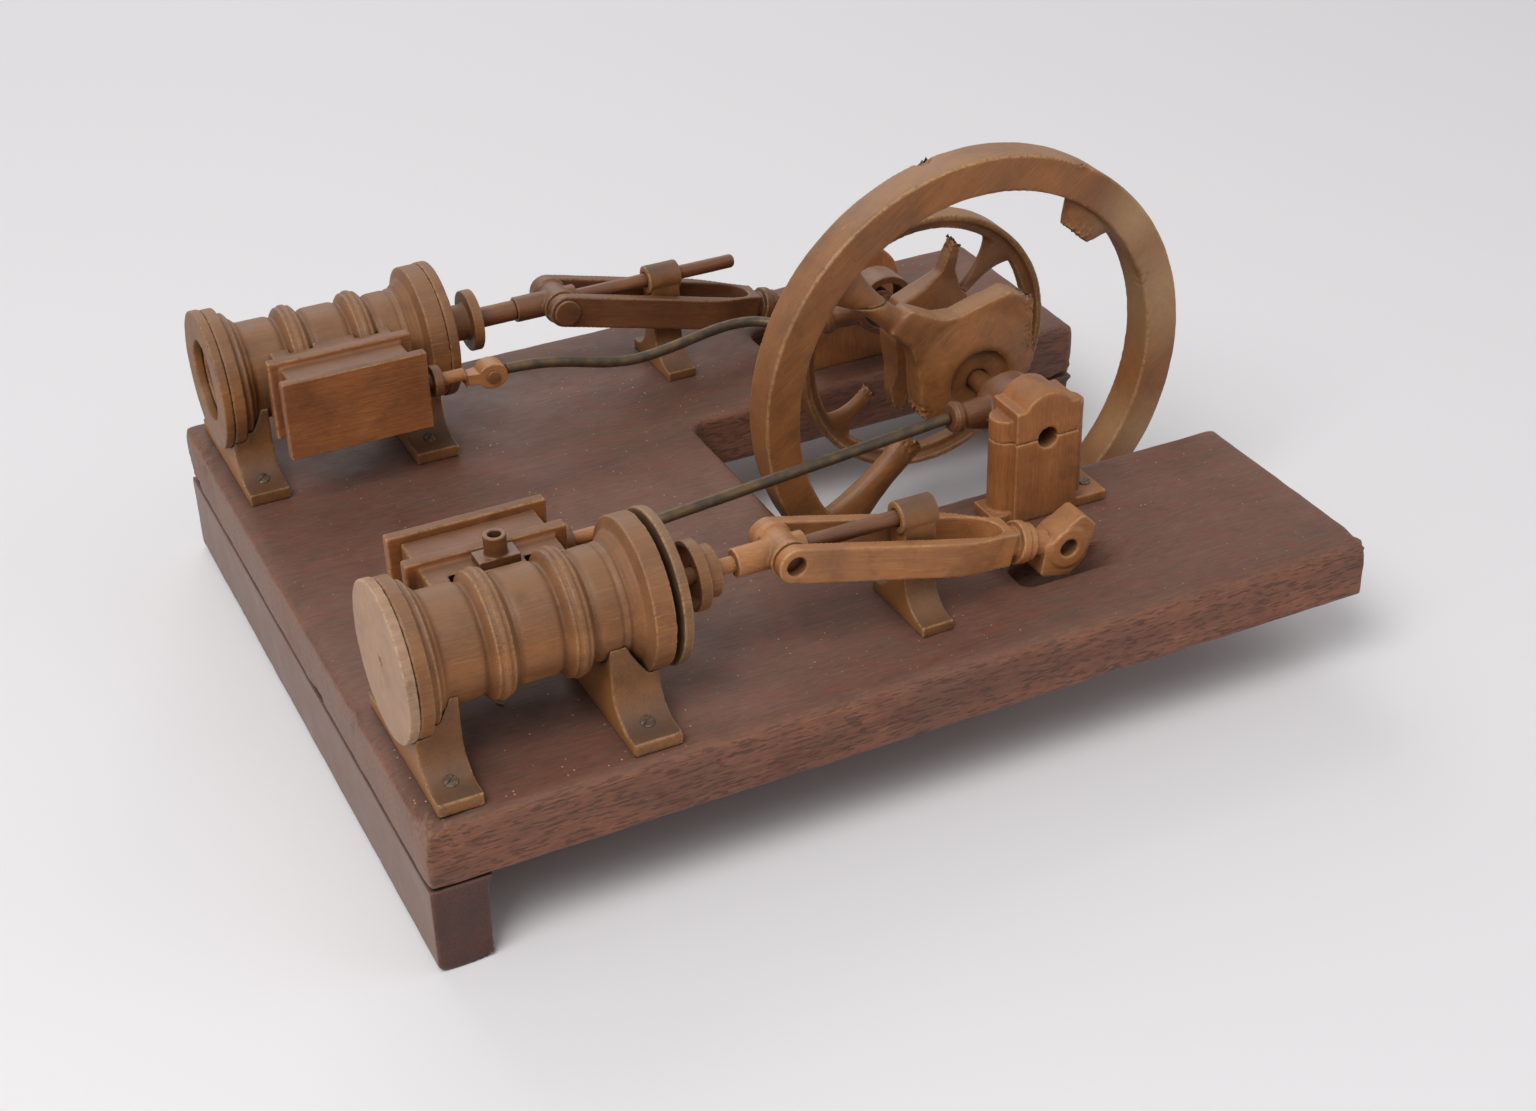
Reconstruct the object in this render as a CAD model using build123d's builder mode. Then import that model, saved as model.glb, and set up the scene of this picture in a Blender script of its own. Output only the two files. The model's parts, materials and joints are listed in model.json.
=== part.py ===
from build123d import *
from dataclasses import dataclass
from math import cos, radians, sin, sqrt, tan
import os

# A wooden demonstration model of a horizontal steam engine with two cylinders, old and partly broken.
# Millimetres, +Z up. X runs along the cylinders from their closed ends to the crankshaft, and Y from
# the near engine to the far one. The origin is on the ground under the middle of the baseboard.

# Baseboard and its feet
board_length = 356.0
board_width = 289.0
board_thickness = 24.0
board_round = 4.0
foot_height = 32.5
foot_length = 21.4
foot_ledge = 1.6
foot_hollow = 1.5
foot_round = 3.0
slot_width = 100.0
slot_round = 8.0
slot_gap = 3.0
pit_width = 14.4
pit_offset = 0.9
pit_depth = 10.0
pit_slope = 18.3
pit_start = 91.1
pit_length = 56.5

# Clearances
running_gap = 0.05
moving_gap = 0.3
seat_gap = 0.1
piston_gap = 0.4
rod_end_gap = 0.5

# The two engines
near_y = -106.3
far_y = 102.2
axis_rise = 38.3

# Cylinder, as steps along X from its closed end
cylinder_setback = 3.8
cover_thickness = 3.7
cover_radius = 26.5
flange_thickness = 5.0
flange_radius = 26.0
shoulder_radius = 23.5
shoulder_length = 2.5
barrel_radius = 18.7
barrel_start = 15.2
bead_radius = 21.6
bead_width = 9.0
bead_centers = (33.9, 59.3)
ogee_start = 74.2
ogee_length = 7.0
barrel_end = 88.2
bore_radius = 15.5
cover_hole_radius = 1.6

# Front covers and glands
near_cover_gap = 2.5
near_cover_thickness = 3.5
far_cover_thickness = 4.0
spigot_length = 7.0
gland_tube_radius = 7.1
gland_disc_radius = 12.0
gland_disc_start = 103.2
gland_disc_thickness = 4.0
gland_ring_radius = 9.0
gland_ring_length = 5.0
gland_dish = 2.0

# Piston, rod, crosshead and guide rod
near_pin_distance = 137.1
far_pin_distance = 141.0
near_piston_rod_radius = 2.8
far_piston_rod_radius = 4.0
piston_center = 62.0
piston_length = 12.0
crosshead_radius = 6.3
collar_radius = 7.1
collar_width = 1.8
socket_radius = 5.0
socket_length = 11.0
guide_radius = 2.8
near_guide_reach = 50.0
far_guide_reach = 78.0
pin_radius = 3.4
pin_head_radius = 5.3
pin_head_height = 1.4

# Guide bracket
bracket_distance = 186.7
bracket_ring_radius = 5.7
bracket_ring_length = 14.0
bracket_neck = 10.4
bracket_length = 12.0
bracket_foot_width = 36.0
bracket_foot_thickness = 4.0
bracket_flare = 12.0

# Connecting rod, as distances from the crosshead pin
rod_length = 112.5
rod_rest_angle = 14.6
fork_gap = 15.0
fork_arm_thickness = 4.5
fork_eye_radius = 6.4
fork_gap_curve = 15.0
fork_crotch = 85.0
fork_shoulder = 62.0
fork_end = 89.0
neck_radius = 6.4
neck_waist = 5.2
bead_start = 92.0
rod_bead_radius = 7.7
rod_bead_length = 3.4
bead_groove = 5.6
bead_groove_length = 0.8
second_bead_radius = 6.9
second_bead_length = 2.2
shank_radius = 4.7
big_end_start = 103.0
big_end_width = 11.0
big_end_outline = ((1.0, -11.5), (13.0, -11.5), (18.0, -4.0), (19.0, 9.0), (12.0, 13.0), (5.0, 6.0), (0.0, 0.0))
big_end_round = 2.0
big_end_boss = 7.5
big_end_boss_rise = 0.6
big_end_hole = 3.4

# Saddles under the cylinder
saddle_starts = (3.2, 68.2)
saddle_lengths = (15.0, 17.0)
saddle_half_width = 34.0
saddle_waist = 17.5
saddle_foot = 4.8
saddle_flare = 12.0

# Steam chest beside the cylinder
chest_start = 22.2
chest_length = 46.0
port_reach = 24.7
chest_flange = 4.5
chest_flange_lip = 4.5
chest_depth = 13.8
chest_cover = 4.0
chest_bottom = 25.0
chest_top = 51.0
chest_lip = 2.6
inlet_distance = 46.2
inlet_offset = 18.8
inlet_flange = (14.0, 8.0, 3.0)
inlet_top = 61.0
inlet_radius = 3.8
inlet_bore = 2.2

# Valve gear
valve_rise = 37.5
gland_boss_radius = 2.8
gland_boss_wall = 0.2
gland_gap = 2.5
valve_gland_radius = 6.0
valve_gland_length = 3.7
valve_rod_radius = 2.5
clevis_start = 88.2
clevis_length = 16.0
clevis_width = 8.0
clevis_height = 9.0
clevis_drop = 2.0
clevis_round = 1.5
eccentric_rod_radius = 2.1
far_rod_bends = ((0.203, 32.1), (0.385, 26.8), (0.591, 29.0), (0.837, 29.8))
strap_socket_length = 14.0
strap_socket_radius = 4.0
strap_socket_rise = 3.0
strap_socket_taper = 9.0
strap_bead_radius = 5.9
strap_bead_length = 4.5
strap_bead_step = 0.9

# Crankshaft, eccentrics and pedestals
shaft_setback = 93.5
shaft_rise = 33.0
shaft_radius = 4.0
sheave_radius = 6.8
sheave_throw = 2.4
sheave_thickness = 10.0
strap_thickness = 12.0
strap_wall = 3.0
near_strap_y = -51.5
far_strap_y = 50.5
near_pedestal_y = -67.7
far_pedestal_y = 73.2
pedestal_depth = 17.2
pedestal_width = 26.2
pedestal_crown = 51.0
pedestal_shoulder = 45.5
crown_half = 9.5
column_radius = 5.8
column_drop = 4.0
pedestal_foot = 7.6
pedestal_stub = 2.0
pedestal_foot_thickness = 4.2
far_pedestal_width = 46.0
far_pedestal_height = 24.0
far_pedestal_slope = 3.0
far_neck_half = 14.5
far_cap_radius = 17.0
shaft_recess = 9.8
far_shaft_recess = 2.7
shaft_collar_y = -39.5
shaft_collar_radius = 7.0
shaft_collar_width = 3.0

# Wheels
rim_radius = 88.4
rim_depth = 13.8
rim_width = 14.8
rim_edge = 1.0
rim_y = -20.5
hub_radius = 15.0
hub_width = 17.0
hub_recess_radius = 12.5
hub_recess = 2.5
hub_slope_end = 27.0
hub_web_thickness = 10.0
spoke_width = 11.5
spoke_thickness = 9.0
spoke_flare = 21.0
spoke_root = 2.0
sound_spoke = 137.5
crack_angle = -4.0
crack_radius = 58.0
broken_spoke = 222.0
broken_spoke_end = 32.0
broken_end_width = 13.5
stub_spoke = 48.0
stub_end = 64.5
stub_end_width = 15.0
stub_flare = 31.0
# The carved web that is left of the flywheel's middle, as (x, z) from the shaft, from its broken right side
hub_web = (
    (25.2, 2.4),
    (25.2, 9.9),
    (24.3, 17.6),
    (25.0, 26.8),
    (18.1, 30.9),
    (13.5, 32.6),
    (2.7, 30.2),
    (-7.4, 27.4),
    (-15.0, 28.1),
    (-28.0, 34.8),
    (-36.6, 27.0),
    (-27.4, 19.1),
    (-25.0, 10.0),
    (-24.0, 0.9),
    (-23.8, -10.5),
    (-19.3, -13.7),
    (-11.5, -14.6),
    (-1.0, -17.5),
    (11.0, -15.0),
    (20.0, -6.0),
)
second_rim_radius = 52.8
second_rim_depth = 6.3
second_rim_lip = 2.6
second_rim_rib = 5.0
second_rim_width = 10.0
second_rim_y = 17.5
second_rim_drop = 2.5
second_hub_radius = 12.0
second_hub_width = 14.0
second_web_thickness = 6.5
# The two spokes that stayed on the second wheel's rim: an angle, then (radius, width) from the broken end
second_rim_spokes = (
    (43.0, ((25.0, 4.5), (34.0, 6.5), (41.0, 11.0), (48.5, 25.0))),
    (218.0, ((27.5, 9.0), (36.0, 6.5), (42.0, 10.0), (48.5, 22.0))),
)
# What is left of its hub: one pointed arm up and one hanging down
second_hub_web = (
    (-10.8, 16.6),
    (-2.0, 20.0),
    (7.4, 25.0),
    (13.0, 38.0),
    (16.2, 34.5),
    (13.8, 25.4),
    (14.0, 4.0),
    (11.0, -7.0),
    (2.0, -12.5),
    (-5.1, -19.7),
    (-8.4, -30.7),
    (-12.8, -29.0),
    (-14.4, -21.0),
    (-13.2, -11.1),
    (-14.6, 2.2),
)

os.makedirs("parts", exist_ok=True)

# Heights and places that follow from the sizes above
board_top = foot_height + board_thickness
axis_z = board_top + axis_rise
shaft_z = board_top + shaft_rise
board_end = board_length / 2
board_side = board_width / 2
slot_half = slot_width / 2
shaft_x = board_end - shaft_setback
cylinder_rear_x = cylinder_setback - board_end
near_pin_x = cylinder_rear_x + near_pin_distance
far_pin_x = cylinder_rear_x + far_pin_distance
bracket_x = cylinder_rear_x + bracket_distance
inlet_x = cylinder_rear_x + inlet_distance
pit_start_x = near_pin_x + pit_start
pit_end_x = pit_start_x + pit_length
rim_inner_radius = rim_radius - rim_depth
second_rim_inner_radius = second_rim_radius - second_rim_depth
slot_end_x = shaft_x - sqrt(rim_radius**2 - shaft_rise**2) - slot_gap
bearing_radius = shaft_radius + running_gap
strap_bore = sheave_radius + sheave_throw + moving_gap
strap_radius = strap_bore + strap_wall
fork_outer = fork_gap / 2 + fork_arm_thickness
valve_offset = port_reach + chest_flange + chest_depth - gland_boss_radius - gland_boss_wall


@dataclass(frozen=True)
class Engine:
    """One of the two engines: its name, its axis, the side of its steam chest and its own sizes."""

    name: str
    y: float
    inward: int
    pin_x: float
    rod_radius: float
    guide_reach: float
    strap_y: float


near = Engine("near", near_y, 1, near_pin_x, near_piston_rod_radius, near_guide_reach, near_strap_y)
far = Engine("far", far_y, -1, far_pin_x, far_piston_rod_radius, far_guide_reach, far_strap_y)
engines = (near, far)


def keep(piece, name):
    """Label a finished piece with its node name and write it."""
    piece.part.label = name
    export_step(piece.part, f"parts/{name}.step")


def lengthways(y):
    """The upright plane along a cylinder's axis, with its zero at the cylinder's closed end."""
    return Plane(origin=(cylinder_rear_x, y, axis_z), x_dir=(1, 0, 0), z_dir=(0, -1, 0))


def crossways(x, y, z=board_top):
    """The plane square to X at x, seen from the crankshaft end: its x is +Y and its y is up."""
    return Plane(origin=(x, y, z), x_dir=(0, 1, 0), z_dir=(1, 0, 0))


def cylinder_axis(y):
    """The line through a cylinder's middle."""
    return Axis((cylinder_rear_x, y, axis_z), (1, 0, 0))


def turned(points, y):
    """A turned solid on a cylinder's axis from its (distance, radius) outline, as a private piece."""
    with BuildPart(mode=Mode.PRIVATE) as piece:
        with BuildSketch(lengthways(y)):
            with BuildLine():
                Polyline(*points, close=True)
            make_face()
        revolve(axis=cylinder_axis(y))
    return piece.part


# The outline of the cylinder's outside, used for the cylinder and for what is cut to fit against it
flange_end = cover_thickness + flange_thickness
ogee_end = ogee_start + ogee_length
barrel_outline = [
    (0, 0),
    (0, cover_radius),
    (cover_thickness, cover_radius),
    (cover_thickness, flange_radius),
    (flange_end, flange_radius),
    (flange_end, shoulder_radius),
    (flange_end + shoulder_length, shoulder_radius),
    (barrel_start, barrel_radius),
    (ogee_start, barrel_radius),
    (ogee_end, flange_radius),
    (barrel_end, flange_radius),
    (barrel_end, 0),
]


def cylinder_envelope(y):
    """The cylinder's outside grown by the seat gap, for cutting what sits against it."""
    grown = [(s, r + seat_gap if r else 0) for s, r in barrel_outline]
    return turned(grown, y)


# Baseboard: a slotted board with rounded top edges and a sloping pit in front of each big end
with BuildPart() as baseboard:
    with BuildSketch(Plane.XY.offset(foot_height)):
        Rectangle(board_length, board_width)
    extrude(amount=board_thickness)
    fillet(baseboard.faces().sort_by(Axis.Z)[-1].edges(), board_round)
    with BuildSketch(Plane.XY.offset(foot_height)) as slot:
        with BuildLine():
            Polyline(
                (slot_end_x, -slot_half),
                (board_length, -slot_half),
                (board_length, slot_half),
                (slot_end_x, slot_half),
                close=True,
            )
        make_face()
        fillet(slot.vertices().group_by(Axis.X)[0], slot_round)
    extrude(amount=board_thickness, mode=Mode.SUBTRACT)
    pit_run = pit_depth / tan(radians(pit_slope))
    for engine in engines:
        side = engine.y + engine.inward * pit_offset
        with BuildSketch(Plane(origin=(0, side, board_top), x_dir=(1, 0, 0), z_dir=(0, -1, 0))):
            with BuildLine():
                Polyline(
                    (pit_start_x, board_round),
                    (pit_start_x, -pit_depth),
                    (pit_end_x - pit_run, -pit_depth),
                    (pit_end_x, 0),
                    (pit_end_x, board_round),
                    close=True,
                )
            make_face()
        extrude(amount=pit_width / 2, both=True, mode=Mode.SUBTRACT)
keep(baseboard, "baseboard")


def moulded_foot(name, outer_x, direction, y_low, y_high):
    """A foot under the board's end: flat on the end's side, hollowed along the other, on a thin ledge."""
    inner = outer_x + direction * foot_length
    hollow = inner - direction * foot_hollow
    middle = inner - direction * foot_hollow * 1.6
    with BuildPart() as piece:
        with BuildSketch(Plane(origin=(0, y_low, 0), x_dir=(1, 0, 0), z_dir=(0, -1, 0))) as section:
            with BuildLine():
                Polyline((hollow, 0), (outer_x, 0), (outer_x, foot_height))
                Polyline((outer_x, foot_height), (inner, foot_height), (inner, foot_height - foot_ledge))
                Line((inner, foot_height - foot_ledge), (hollow, foot_height - foot_ledge))
                ThreePointArc((hollow, foot_height - foot_ledge), (middle, foot_height / 2), (hollow, 0))
            make_face()
            fillet(section.vertices().group_by(Axis.Y)[0], foot_round)
        extrude(amount=-(y_high - y_low))
    keep(piece, name)


moulded_foot("left_batten_foot", -board_end, 1, -board_side, board_side)
moulded_foot("far_right_foot", board_end - foot_length, 1, slot_half, board_side)

# Cylinders: a turned barrel with two beads, a flange at each end and an open bore
for engine in engines:
    first_step = cover_thickness + seat_gap
    with BuildPart() as cylinder:
        with BuildSketch(lengthways(engine.y)) as outline:
            with BuildLine():
                Polyline(
                    (first_step, bore_radius),
                    (first_step, flange_radius),
                    (flange_end, flange_radius),
                    (flange_end, shoulder_radius),
                    (flange_end + shoulder_length, shoulder_radius),
                )
                Line((flange_end + shoulder_length, shoulder_radius), (barrel_start, barrel_radius))
                Line((barrel_start, barrel_radius), (ogee_start, barrel_radius))
                Spline(
                    (ogee_start, barrel_radius),
                    (ogee_end, flange_radius),
                    tangents=((1, 0.15), (0.3, 1)),
                )
                Polyline(
                    (ogee_end, flange_radius),
                    (barrel_end, flange_radius),
                    (barrel_end, bore_radius),
                    (first_step, bore_radius),
                )
            make_face()
            for center in bead_centers:
                with Locations((center, barrel_radius)):
                    Ellipse(bead_width / 2, bead_radius - barrel_radius)
        revolve(axis=cylinder_axis(engine.y))
    keep(cylinder, f"{engine.name}_cylinder")

    with BuildPart() as rear_cover:
        with BuildSketch(crossways(cylinder_rear_x, engine.y, axis_z)):
            Circle(cover_radius)
            Circle(cover_hole_radius if engine is near else bore_radius, mode=Mode.SUBTRACT)
        extrude(amount=cover_thickness)
        fillet(rear_cover.edges().filter_by(GeomType.CIRCLE).group_by(Axis.X)[0][-1], 0.6)
    keep(rear_cover, f"{engine.name}_rear_cover")

# Front covers: the near one stands loose on its spigot, the far one is seated
for engine in engines:
    loose = engine is near
    face_gap = near_cover_gap if loose else seat_gap
    thickness = near_cover_thickness if loose else far_cover_thickness
    start = barrel_end + face_gap
    hole = engine.rod_radius + moving_gap
    with BuildPart() as front_cover:
        with BuildSketch(lengthways(engine.y)):
            with BuildLine():
                Polyline(
                    (start - spigot_length, hole),
                    (start - spigot_length, bore_radius - seat_gap),
                    (start, bore_radius - seat_gap),
                    (start, cover_radius - seat_gap),
                    (start + thickness, cover_radius - seat_gap),
                    (start + thickness, hole),
                    close=True,
                )
            make_face()
        revolve(axis=cylinder_axis(engine.y))
        fillet(front_cover.edges().filter_by(GeomType.CIRCLE).group_by(Axis.X)[-1].sort_by(SortBy.RADIUS)[-1], 0.8)
    keep(front_cover, f"{engine.name}_front_cover")

# Glands: dished discs, the near one slipped along its piston rod, the far one on its tube
with BuildPart() as near_gland:
    dish_edge = gland_disc_radius - 1.5
    disc_end = gland_disc_start + gland_disc_thickness
    with BuildSketch(lengthways(near.y)):
        with BuildLine():
            Polyline(
                (gland_disc_start + gland_dish, near.rod_radius + seat_gap),
                (gland_disc_start + gland_dish, dish_edge - gland_dish),
                (gland_disc_start, dish_edge),
                (gland_disc_start, gland_disc_radius),
                (disc_end, gland_disc_radius),
                (disc_end, gland_ring_radius),
                (disc_end + gland_ring_length, gland_ring_radius),
                (disc_end + gland_ring_length, near.rod_radius + seat_gap),
                close=True,
            )
        make_face()
    revolve(axis=cylinder_axis(near.y))
keep(near_gland, "near_gland")

with BuildPart() as far_gland:
    far_cover_end = barrel_end + seat_gap + far_cover_thickness
    far_hole = far.rod_radius + moving_gap
    with BuildSketch(lengthways(far.y)):
        with BuildLine():
            Polyline(
                (far_cover_end, far_hole),
                (far_cover_end, gland_tube_radius),
                (gland_disc_start, gland_tube_radius),
                (gland_disc_start, gland_disc_radius),
                (gland_disc_start + gland_disc_thickness, gland_disc_radius),
                (gland_disc_start + gland_disc_thickness, far_hole),
                close=True,
            )
        make_face()
    revolve(axis=cylinder_axis(far.y))
keep(far_gland, "far_gland")

# Piston rods, each with its piston and the socket of the crosshead to come up against
for engine in engines:
    socket_end = engine.pin_x - crosshead_radius - cylinder_rear_x
    piston_radius = bore_radius - piston_gap
    with BuildPart() as piston_rod:
        with BuildSketch(lengthways(engine.y)):
            with BuildLine():
                Polyline(
                    (piston_center - piston_length / 2, 0),
                    (piston_center - piston_length / 2, piston_radius),
                    (piston_center + piston_length / 2, piston_radius),
                    (piston_center + piston_length / 2, engine.rod_radius),
                    (socket_end - socket_length, engine.rod_radius),
                    (socket_end - socket_length, 0),
                    close=True,
                )
            make_face()
        revolve(axis=cylinder_axis(engine.y))
    keep(piston_rod, f"{engine.name}_piston_rod")

# Crossheads: a barrel across the rod with a collar at each end and a socket each way
for engine in engines:
    inner_half = fork_gap / 2 - moving_gap
    socket_x = engine.pin_x - crosshead_radius - socket_length
    with BuildPart() as crosshead:
        with BuildSketch(Plane(origin=(engine.pin_x, engine.y, axis_z), x_dir=(1, 0, 0), z_dir=(0, -1, 0))):
            Circle(crosshead_radius)
        extrude(amount=inner_half, both=True)
        with BuildSketch(
            Plane(origin=(engine.pin_x, engine.y - inner_half, axis_z), x_dir=(1, 0, 0), z_dir=(0, 1, 0)),
            Plane(origin=(engine.pin_x, engine.y + inner_half, axis_z), x_dir=(1, 0, 0), z_dir=(0, -1, 0)),
        ):
            Circle(collar_radius)
        extrude(amount=collar_width)
        with BuildSketch(crossways(socket_x, engine.y, axis_z)):
            Circle(socket_radius)
        extrude(amount=socket_length + crosshead_radius)
        with BuildSketch(crossways(engine.pin_x, engine.y, axis_z)):
            Circle(socket_radius)
        extrude(amount=crosshead_radius + collar_width)
        with BuildSketch(Plane(origin=(engine.pin_x, engine.y, axis_z), x_dir=(1, 0, 0), z_dir=(0, 1, 0))):
            Circle(pin_radius)
        extrude(amount=fork_outer)
        if engine is far:
            near_side = Plane(origin=(engine.pin_x, engine.y, axis_z), x_dir=(1, 0, 0), z_dir=(0, -1, 0))
            with BuildSketch(near_side):
                Circle(pin_radius)
            extrude(amount=fork_outer + moving_gap)
            with BuildSketch(near_side.offset(fork_outer + moving_gap)):
                Circle(pin_head_radius)
            extrude(amount=pin_head_height)
    keep(crosshead, f"{engine.name}_crosshead")

    with BuildPart() as guide_rod:
        guide_start = engine.pin_x + crosshead_radius + collar_width
        with BuildSketch(crossways(guide_start, engine.y, axis_z)):
            Circle(guide_radius)
        extrude(amount=engine.guide_reach - crosshead_radius - collar_width)
        fillet(guide_rod.edges().sort_by(Axis.X)[-1], guide_radius * 0.6)
    keep(guide_rod, f"{engine.name}_guide_rod")

# Guide brackets: a ring on a waisted neck that flares into its foot
for engine in engines:
    ring_half = bracket_ring_length / 2
    with BuildPart() as bracket:
        with BuildSketch(crossways(bracket_x, engine.y)) as web:
            with BuildLine():
                Polyline(
                    (-bracket_foot_width / 2, 0),
                    (bracket_foot_width / 2, 0),
                    (bracket_foot_width / 2, bracket_foot_thickness),
                    (bracket_neck / 2, bracket_foot_thickness),
                    (bracket_neck / 2, axis_rise),
                    (-bracket_neck / 2, axis_rise),
                    (-bracket_neck / 2, bracket_foot_thickness),
                    (-bracket_foot_width / 2, bracket_foot_thickness),
                    close=True,
                )
            make_face()
            corners = web.vertices().filter_by_position(
                Axis.Y, bracket_foot_thickness - 0.1, bracket_foot_thickness + 0.1
            )
            fillet([v for v in corners if abs(v.X) < bracket_foot_width / 4], bracket_flare)
        extrude(amount=bracket_length / 2, both=True)
        with BuildSketch(crossways(bracket_x, engine.y, axis_z)):
            Circle(bracket_ring_radius)
        extrude(amount=ring_half, both=True)
        with BuildSketch(crossways(bracket_x, engine.y, axis_z)):
            Circle(guide_radius + moving_gap)
        extrude(amount=ring_half, both=True, mode=Mode.SUBTRACT)
    keep(bracket, f"{engine.name}_guide_bracket")

# Connecting rods: a long fork, a turned neck and a slanting big end, lying down in the pit
for engine in engines:
    tilt = radians(rod_rest_angle)
    along = (cos(tilt), 0, -sin(tilt))
    upright = (sin(tilt), 0, cos(tilt))
    side_view = Plane(origin=(engine.pin_x, engine.y, axis_z), x_dir=along, z_dir=(0, -1, 0))
    top_view = Plane(origin=(engine.pin_x, engine.y, axis_z), x_dir=along, z_dir=upright)
    rod_axis = Axis((engine.pin_x, engine.y, axis_z), along)
    gap_half = fork_gap / 2
    curve_start = fork_crotch - fork_gap_curve
    groove_start = bead_start + rod_bead_length
    second_start = groove_start + bead_groove_length
    second_end = second_start + second_bead_length
    with BuildPart() as connecting_rod:
        with BuildSketch(top_view):
            with BuildLine():
                Line((-fork_eye_radius, fork_outer), (fork_shoulder, fork_outer))
                Spline((fork_shoulder, fork_outer), (fork_end, neck_radius), tangents=((1, 0), (1, -0.1)))
                Line((fork_end, neck_radius), (fork_end, -neck_radius))
                Spline((fork_end, -neck_radius), (fork_shoulder, -fork_outer), tangents=((-1, -0.1), (-1, 0)))
                Line((fork_shoulder, -fork_outer), (-fork_eye_radius, -fork_outer))
                Line((-fork_eye_radius, -fork_outer), (-fork_eye_radius, -gap_half))
                Line((-fork_eye_radius, -gap_half), (curve_start, -gap_half))
                Spline(
                    (curve_start, -gap_half),
                    (fork_crotch, 0),
                    (curve_start, gap_half),
                    tangents=((1, 0), (-1, 0)),
                )
                Line((curve_start, gap_half), (-fork_eye_radius, gap_half))
                Line((-fork_eye_radius, gap_half), (-fork_eye_radius, fork_outer))
            make_face()
        extrude(amount=fork_eye_radius, both=True)
        with BuildSketch(side_view):
            with Locations((fork_end / 2, 0)):
                Rectangle(fork_end, 2 * fork_eye_radius)
            Circle(fork_eye_radius)
        extrude(amount=fork_outer, both=True, mode=Mode.INTERSECT)
        with BuildSketch(side_view):
            Circle(pin_radius + running_gap)
        extrude(amount=fork_outer, both=True, mode=Mode.SUBTRACT)
        with BuildSketch(side_view):
            with BuildLine():
                Polyline(
                    (fork_crotch + 1, 0),
                    (fork_crotch + 1, neck_radius),
                    (bead_start, neck_waist),
                    (bead_start, rod_bead_radius),
                    (groove_start, rod_bead_radius),
                    (groove_start, bead_groove),
                    (second_start, bead_groove),
                    (second_start, second_bead_radius),
                    (second_end, second_bead_radius),
                    (second_end, shank_radius),
                    (big_end_start + big_end_round, shank_radius),
                    (big_end_start + big_end_round, 0),
                    close=True,
                )
            make_face()
        revolve(axis=rod_axis)
        with BuildSketch(side_view) as big_end:
            with BuildLine():
                Polyline(*[(big_end_start + run, rise) for run, rise in big_end_outline], close=True)
            make_face()
            fillet(big_end.vertices(), big_end_round)
        extrude(amount=big_end_width / 2, both=True)
        with BuildSketch(side_view):
            with Locations((rod_length, 0)):
                Circle(big_end_boss)
        extrude(amount=big_end_width / 2 + big_end_boss_rise, both=True)
        with BuildSketch(side_view):
            with Locations((rod_length, 0)):
                Circle(big_end_hole)
        extrude(amount=big_end_width, both=True, mode=Mode.SUBTRACT)
    keep(connecting_rod, f"{engine.name}_connecting_rod")

# Saddles: arched blocks with spreading feet, cut to the cylinder that lies in them
for engine in engines:
    shell = cylinder_envelope(engine.y)
    for place, start, length in zip(("rear", "front"), saddle_starts, saddle_lengths):
        with BuildPart() as saddle:
            with BuildSketch(crossways(cylinder_rear_x + start, engine.y)) as arch:
                with BuildLine():
                    Polyline(
                        (-saddle_half_width, 0),
                        (saddle_half_width, 0),
                        (saddle_half_width, saddle_foot),
                        (saddle_waist, saddle_foot),
                        (saddle_waist, axis_rise),
                        (-saddle_waist, axis_rise),
                        (-saddle_waist, saddle_foot),
                        (-saddle_half_width, saddle_foot),
                        close=True,
                    )
                make_face()
                corners = [v for v in arch.vertices() if abs(abs(v.X) - saddle_waist) < 1 and v.Y < axis_rise - 1]
                fillet(corners, saddle_flare)
            extrude(amount=length)
            add(shell, mode=Mode.SUBTRACT)
        keep(saddle, f"{engine.name}_{place}_saddle")

# Steam chests: a port block against the barrel, a lipped flange, the box and its flat cover
for engine in engines:
    shell = cylinder_envelope(engine.y)
    chest_x = cylinder_rear_x + chest_start + chest_length / 2
    chest_z = board_top + (chest_bottom + chest_top) / 2
    chest_height = chest_top - chest_bottom
    outward = (0, engine.inward, 0)

    def chest_plane(offset):
        return Plane(origin=(chest_x, engine.y + engine.inward * offset, chest_z), x_dir=(1, 0, 0), z_dir=outward)

    with BuildPart() as steam_chest:
        with BuildSketch(chest_plane(barrel_radius * 0.6)):
            Rectangle(chest_length, chest_height)
        extrude(amount=port_reach - barrel_radius * 0.6)
        with BuildSketch(chest_plane(port_reach)):
            Rectangle(chest_length + 2 * chest_flange_lip, chest_height + 2 * chest_lip)
        extrude(amount=chest_flange)
        with BuildSketch(chest_plane(port_reach + chest_flange)):
            Rectangle(chest_length, chest_height)
        extrude(amount=chest_depth)
        add(shell, mode=Mode.SUBTRACT)
        for center in bead_centers:
            bead = turned(
                [
                    (center - bead_width / 2 - seat_gap, 0),
                    (center - bead_width / 2 - seat_gap, bead_radius + seat_gap),
                    (center + bead_width / 2 + seat_gap, bead_radius + seat_gap),
                    (center + bead_width / 2 + seat_gap, 0),
                ],
                engine.y,
            )
            add(bead, mode=Mode.SUBTRACT)
    keep(steam_chest, f"{engine.name}_steam_chest")

    with BuildPart() as chest_lid:
        with BuildSketch(chest_plane(port_reach + chest_flange + chest_depth)):
            Rectangle(chest_length + 2 * chest_flange_lip, chest_height + 2 * chest_lip)
        extrude(amount=chest_cover)
        fillet(chest_lid.edges().filter_by(Axis.Y), 0.8)
    keep(chest_lid, f"{engine.name}_chest_cover")

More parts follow.
